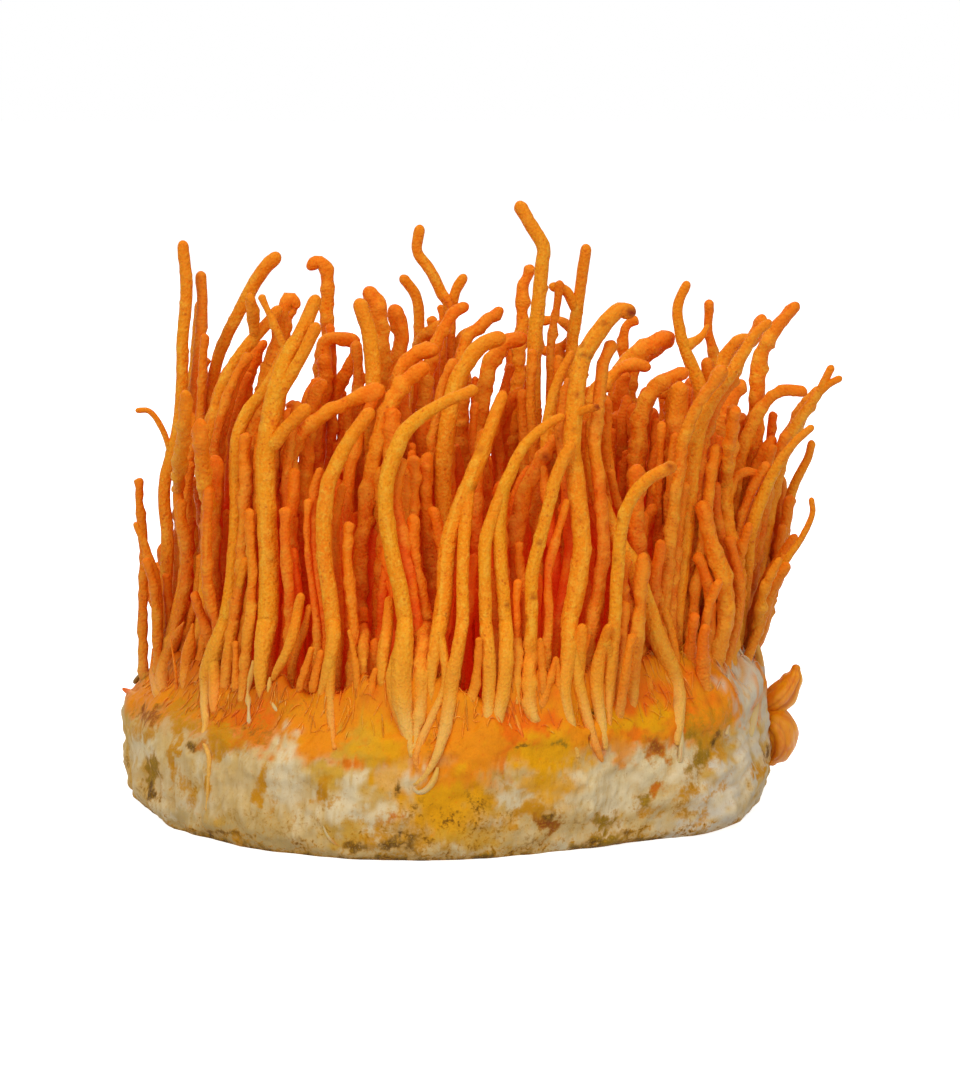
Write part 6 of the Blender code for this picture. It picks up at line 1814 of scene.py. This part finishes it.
def growFibres():
    chance = np.random.default_rng(fibres["seed"])
    count, steps, sides = fibres["count"], fibres["steps"], fibres["sides"]
    share = np.linspace(0.0, 1.0, steps)
    turn = chance.uniform(0.0, 2 * math.pi, count)
    front = chance.random(count) < 0.35
    turn[front] = chance.uniform(math.pi, 2 * math.pi, front.sum())
    way = np.where(chance.random(count) < 0.7, chance.normal(0.0, 0.5, count), chance.uniform(-1.6, 1.6, count))
    ways = way[:, None] + chance.normal(0.0, 0.5, count)[:, None] * share
    step = (chance.uniform(*fibres["lengths"], count) / steps)[:, None]
    turns = turn[:, None] + np.cumsum(np.sin(ways) * step, axis=1) / cakeForm["radius"]
    along = chance.uniform(*fibres["where"], count)[:, None] + np.cumsum(np.cos(ways) * step, axis=1)
    arches = chance.uniform(0.1, 1.0, count)[:, None] * fibres["arch"] * np.sin(math.pi * share)
    widths = chance.uniform(*fibres["widths"], count)[:, None] * np.sqrt(np.sin(math.pi * (0.06 + 0.88 * share)))
    points, out = feltPlaces(turns.ravel(), along.ravel())
    colours = paintedCake(points, turns.ravel() % (2 * math.pi))["felt"]
    colours = colours * np.repeat(chance.uniform(0.85, 1.3, count), steps)[:, None]
    middles = (points + out * (arches.ravel() + 0.02)[:, None]).reshape(count, steps, 3)
    ways = unit(np.gradient(middles, axis=1))
    side = unit(np.cross(ways, out.reshape(middles.shape)))
    lifted = np.cross(side, ways)
    turning = np.arange(sides) * 2 * math.pi / sides
    ring = side[:, :, None, :] * np.cos(turning)[:, None] + lifted[:, :, None, :] * np.sin(turning)[:, None]
    skin = (middles[:, :, None, :] + ring * widths[:, :, None, None]).reshape(count, -1, 3)
    # each fibre is its rings and then a point at each end
    skin = np.concatenate([skin, middles[:, :1], middles[:, -1:]], axis=1)
    felt = np.clip(colours, 0.0, 1.0).reshape(count, steps, 3)
    felt = np.concatenate([np.repeat(felt, sides, axis=1), felt[:, :1], felt[:, -1:]], axis=1)
    starts = len(skin[0]) * np.arange(count)[:, None, None]
    quads, corners = (faces + starts for faces in tubeFaces(steps, sides))
    skin = skin.reshape(-1, 3)
    return skin, quads.reshape(-1, 4), corners.reshape(-1, 3), {"lie": skin, "felt": felt.reshape(-1, 3)}


feltMaterial = feltPaint()
cakeParts = growCake()
makePiece("mycelium_cake", *cakeParts, feltMaterial, ["culture_cake"], "mycelium_cake")
report(f"cake made with {len(cakeParts[1])} faces")


# Threads and web of mycelium that lie on the front of the crust: x, y and width in the picture's pixels,
# and the tones at the top and at the end
webThreads = (
    ("228 675 2, 226 690 2.4, 230 704 4", "pale", "pale"),
    ("234 676 2, 231 690 2, 227 697 2", "pale", "pale"),
    ("253 658 2, 251 678 6, 248 692 3, 249 701 7, 249 707 3, 249 717 4, 249 728 6", "pale", "web"),
    ("270 675 3, 270 692 6, 274 706 6, 283 717 2", "pale", "web"),
    ("438 766 3, 434 780 6, 426 790 6, 418 793 4, 412 787 3", "pale", "web"),
    ("514 712 2, 519 727 4, 524 741 3", "skin", "deep"),
    ("505 714 2, 510 729 4, 517 742 3", "skin", "deep"),
    ("674 652 2, 683 676 3.4, 688 700 3.4, 689 718 3.4, 684 730 2", "pale", "web"),
    ("681 724 4, 681 745 5, 680 766 4", "web", "web"),
    ("681 700 4, 681 713 8, 679 726 4", "bark", "bark"),
    ("693 707 2, 702 714 3.4, 712 714 3.4, 724 707 2", "pale", "pale"),
    ("727 618 2, 732 660 4, 733 700 5, 726 740 3", "pale", "web"),
    ("742 650 3, 739 690 6, 734 724 4", "pale", "web"),
    ("743 636 4, 751 665 9, 754 700 11, 751 744 6", "pale", "web"),
    ("727 600 2, 739 618 3, 746 638 4, 758 654 3", "pale", "web"),
    ("756 636 4, 760 668 9, 762 700 10, 764 740 6", "pale", "web"),
    ("300 728 2, 288 732 3, 276 740 2", "pale", "web"),
    ("312 711 2, 298 713 3, 285 722 2", "pale", "deep"),
    ("322 822 2, 330 840 3, 345 849 2", "web", "ochre"),
    ("137 696 7, 129 692 6, 121 688 2", "skin", "deep"),
    ("153 670 4, 147 674 9, 138 679 6, 133 684 3", "husk", "husk"),
)
strandTones = {
    "skin": linear(240, 148, 26),
    "deep": linear(244, 112, 10),
    "pale": linear(234, 178, 74),
    "web": linear(216, 188, 130),
    "bark": linear(150, 72, 14),
    "ochre": linear(196, 134, 30),
    "husk": linear(132, 98, 30),
}
strandForm = {
    "sides": 14,
    "step": 0.32,
    "lift": 0.04,              # how far a strand's middle stands out, in its own widths
    "build": {
        "girth": 1.0, "lumps": 0.05, "ridges": 0.09, "beads": 0.03, "grain": 0.04,
        "knobs": 0.25, "knobSizes": (0.2, 0.4), "knobHeights": (0.02, 0.08), "pits": 0.1,
    },
}


def strandPart(route, topTone, endTone, seed):
    places, out, widths, share = layOnFront(routeOf(route)[::-1])
    ends = smoothStep(share, 0.0, 0.2) * (1.0 - smoothStep(share, 0.8, 1.0))
    lift = widths * (strandForm["lift"] * ends - 0.3 * (1.0 - ends))
    path = places + out * lift[:, None]
    look = {"rooted": False, "tone": 0.0, "inner": 0.0, "marks": (), "warm": 0.0}
    points, quads, corners, values = fleshed(path, 0.5 * widths, strandForm["sides"], strandForm["step"], seed,
                                             strandForm["build"], look)
    along = values["fromTip"] / values["fromTip"].max()
    mix = smoothStep(along + 0.18 * softNoise(values["lie"], 1.4, 64), 0.1, 0.75)[:, None]
    felt = strandTones[endTone] * (1.0 - mix) + strandTones[topTone] * mix
    return points, quads, corners, {"lie": values["lie"], "felt": felt}


def strandPaint():
    paint = Paint("strandSkin", {
        "Subsurface Weight": 0.2, "Subsurface Radius": (1.0, 0.35, 0.1), "Subsurface Scale": 0.0006,
        "Specular IOR Level": 0.25,
    })
    lie = paint.stored("lie", 1)
    streaks = paint.noise(paint.stretched(lie, (1.0, 1.0, 0.12)), 0.5, 3.0)
    fine = paint.noise(lie, 0.4, 3.0, 0.65)
    paint.feed("Base Color", paint.layered(
        paint.stored("felt", 0),
        (paint.between(streaks, 0.5, 0.72) * 0.4, linear(244, 196, 104)),
        (paint.between(streaks, 0.46, 0.3) * 0.4 + paint.between(fine, 0.36, 0.22) * 0.3, linear(220, 104, 12)),
    ))
    paint.feed("Roughness", 0.5 + fine * 0.25)
    paint.raised(streaks * 0.7 + fine * 0.5, 0.2, 0.8)
    return paint.material


strandParts = [strandPart(route, top, end, 7000 + count) for count, (route, top, end) in enumerate(webThreads)]
strandMaterial = strandPaint()
makePiece("web_threads", *joined(strandParts), strandMaterial, [], "mycelium_cake")
makePiece("felt_fibres", *growFibres(), strandMaterial, [], "mycelium_cake")
report(f"{len(strandParts)} threads of web")


# The two ear-like lobes on the right, each with its middle line and widths in the picture's pixels
ears = {
    "lobes": (
        "764 708 16, 771 703 25, 780 696 29, 788 687 26, 794 677 18, 796 669 9",
        "764 716 18, 772 719 30, 780 728 33, 782 739 31, 779 750 25, 772 760 12",
    ),
    "depth": -3.8,
    "thickness": 1.5,         # front to back, in widths
    "sides": 64,
    "step": 0.16,
    "ridges": 0.16,
    "groove": 0.26,
}


def earPart(route, seed):
    across, up, widths = fromPicture(routeOf(route), 12)
    places = fromFrontView(across, up, np.full(len(up), ears["depth"]))
    run = lengthsAlong(places)
    sides = ears["sides"]
    cap = 0.5 * widths[-1]
    even = np.append(np.arange(0.0, run[-1], ears["step"]), run[-1])
    path = atLengths(places, run, even)
    halves = 0.5 * np.interp(even, run, widths)
    rounding = np.linspace(0.0, math.pi / 2, 9)[1:-1]
    way = unit(path[-1] - path[-3])
    path = np.vstack([path, path[-1] + way * (np.sin(rounding) * cap)[:, None]])
    halves = np.append(halves, halves[-1] * np.cos(rounding))
    ways = unit(np.gradient(path, axis=0))
    depthWay = np.array([0.0, 1.0, 0.0])
    side = unit(np.cross(np.broadcast_to(depthWay, ways.shape), ways))
    turns = np.arange(sides) * 2 * math.pi / sides
    cosines, sines = np.cos(turns), np.sin(turns)
    outward = side[:, None, :] * cosines[None, :, None] + ears["thickness"] * depthWay * sines[None, :, None]
    spread = np.repeat(halves, sides)
    flat = outward.reshape(-1, 3)
    points = np.repeat(path, sides, axis=0) + flat * spread[:, None]
    margin = np.tile(cosines, len(path))
    ridges = softNoise(np.column_stack([spread * margin, points[:, 1] * 0.5, points[:, 2] * 0.16]), 0.42, seed)
    groove = np.exp(-(((margin - 0.55 - 0.12 * ridges) / 0.11) ** 2)) + 0.6 * np.exp(-(((margin + 0.1) / 0.1) ** 2))
    lumps = 0.1 * softNoise(points, 2.2, seed + 1) + 0.05 * softNoise(points, 0.9, seed + 2)
    raised = ears["ridges"] * ridges - ears["groove"] * groove + lumps * spread
    points += unit(flat) * raised[:, None] * np.minimum(1.0, spread)[:, None]
    points = np.vstack([points, path[:1], path[-1:] + way * 0.05 * cap])
    quads, corners = tubeFaces(len(path), sides)
    edge = smoothStep(margin + 0.15 * ridges, 0.5, 0.95)
    values = {"edge": np.append(edge, [0.0, 0.5]), "crease": np.append(groove, [0.0, 0.0])}
    return points, quads[:, (0, 3, 2, 1)], corners[:, (0, 2, 1)], values       # the rings go round the other way


def earPaint():
    paint = Paint("earSkin", {
        "Subsurface Weight": 0.3, "Subsurface Radius": (1.0, 0.25, 0.04), "Subsurface Scale": 0.0009,
        "Specular IOR Level": 0.28, "Coat Roughness": 0.3,
    })
    where = paint.inMillimetres()
    folds = paint.noise(paint.stretched(where, (1.0, 1.0, 0.4)), 1.2, 3.0, 0.6, 0.8)
    fine = paint.noise(where, 0.35, 2.0, 0.6)
    paint.feed("Base Color", paint.layered(
        linear(238, 132, 6),
        (paint.between(folds, 0.35, 0.65), linear(250, 160, 12)),
        (paint.stored("edge") * 0.8, linear(248, 176, 24)),
        # painted shade in the groove along each lobe
        (paint.between(paint.stored("crease"), 0.0, 1.0) * 0.55, linear(190, 84, 2)),
    ))
    paint.feed("Roughness", 0.36 + fine * 0.2)
    paint.feed("Coat Weight", folds * 0.12)
    paint.raised(folds + fine * 0.3, 0.2, 0.6)
    return paint.material


earParts = [earPart(lobe, 81 + 10 * count) for count, lobe in enumerate(ears["lobes"])]
makePiece("ear_lobes", *joined(earParts), earPaint(), ["side_ears"], "ear_orange")
report("ears made")


# Floor, light and camera
studio = {
    "floor": 4.0,
    "world": 0.42,
    "floorGlow": 0.76,
    "aim": (0.0, 0.0, 0.035),         # where the lamps look
    # place, width, strength in watts
    "lamps": (
        ((-0.34, -0.66, 0.5), 0.5, 2.7),
        ((0.5, -0.62, 0.34), 0.5, 1.35),
        ((-0.25, 0.65, 0.36), 0.6, 1.2),
        ((0.0, 0.1, 0.8), 0.55, 2.0),
    ),
}


def plainPaint(name, colour, roughness):
    paint = Paint(name, {
        "Roughness": roughness,
        "Specular IOR Level": 0.1,
        "Emission Color": (1.0, 1.0, 1.0, 1.0),
        "Emission Strength": studio["floorGlow"],
    })
    grain = paint.noise(paint.node("ShaderNodeTexCoord", {}, {}, 3), 0.02, 2.0)
    paint.feed("Base Color", paint.mixed(grain, colour, colour * 0.985))
    return paint.material


def makeFloor():
    half = studio["floor"]
    mesh = bpy.data.meshes.new("floor")
    mesh.from_pydata([(-half, -half, 0), (half, -half, 0), (half, half, 0), (-half, half, 0)], [], [(0, 1, 2, 3)])
    mesh.materials.append(plainPaint("floorPaper", linear(250, 250, 249), 0.9))
    floor = bpy.data.objects.new("floor", mesh)
    floor.visible_diffuse = False
    bpy.context.scene.collection.objects.link(floor)


def makeLight(number, place, width, watts):
    data = bpy.data.lights.new(f"softbox{number}", "AREA")
    data.shape = "SQUARE"
    data.size = width
    data.energy = watts
    lamp = bpy.data.objects.new(f"softbox{number}", data)
    lamp.location = place
    aim = Vector(studio["aim"]) - Vector(place)
    lamp.rotation_euler = aim.to_track_quat("-Z", "Y").to_euler()
    bpy.context.scene.collection.objects.link(lamp)


def makeWorld():
    world = bpy.data.worlds.new("studio")
    bpy.context.scene.world = world
    world.use_nodes = True
    tree = world.node_tree
    sky = tree.nodes["Background"]
    sky.inputs["Strength"].default_value = studio["world"]
    seen = tree.nodes.new("ShaderNodeBackground")
    path = tree.nodes.new("ShaderNodeLightPath")
    both = tree.nodes.new("ShaderNodeMixShader")
    for background in (sky, seen):
        background.inputs["Color"].default_value = (1.0, 1.0, 1.0, 1.0)
    tree.links.new(path.outputs["Is Camera Ray"], both.inputs[0])
    tree.links.new(sky.outputs[0], both.inputs[1])
    tree.links.new(seen.outputs[0], both.inputs[2])
    tree.links.new(both.outputs[0], tree.nodes["World Output"].inputs["Surface"])


def makeCamera():
    data = bpy.data.cameras.new("camera")
    camera = bpy.data.objects.new("camera", data)
    bpy.context.scene.collection.objects.link(camera)
    distance = eye["distance"] / 1000
    data.sensor_width = eye["sensor"]
    data.lens = eye["sensor"] * eye["distance"] / (eye["picture"][1] * eye["mmPerPixel"])
    data.clip_start, data.clip_end = 0.02, 20.0
    camera.location = (eye["axis"] / 1000, -distance * eyeCosine, eye["targetHeight"] / 1000 + distance * eyeSine)
    camera.rotation_euler = (math.radians(90.0 - eye["rise"]), 0.0, 0.0)
    bpy.context.scene.camera = camera


makeFloor()
for number, (place, width, watts) in enumerate(studio["lamps"]):
    makeLight(number, place, width, watts)
makeWorld()
makeCamera()
bpy.context.scene.view_settings.view_transform = "Standard"
bpy.context.scene.view_settings.look = "None"
report("stage set")
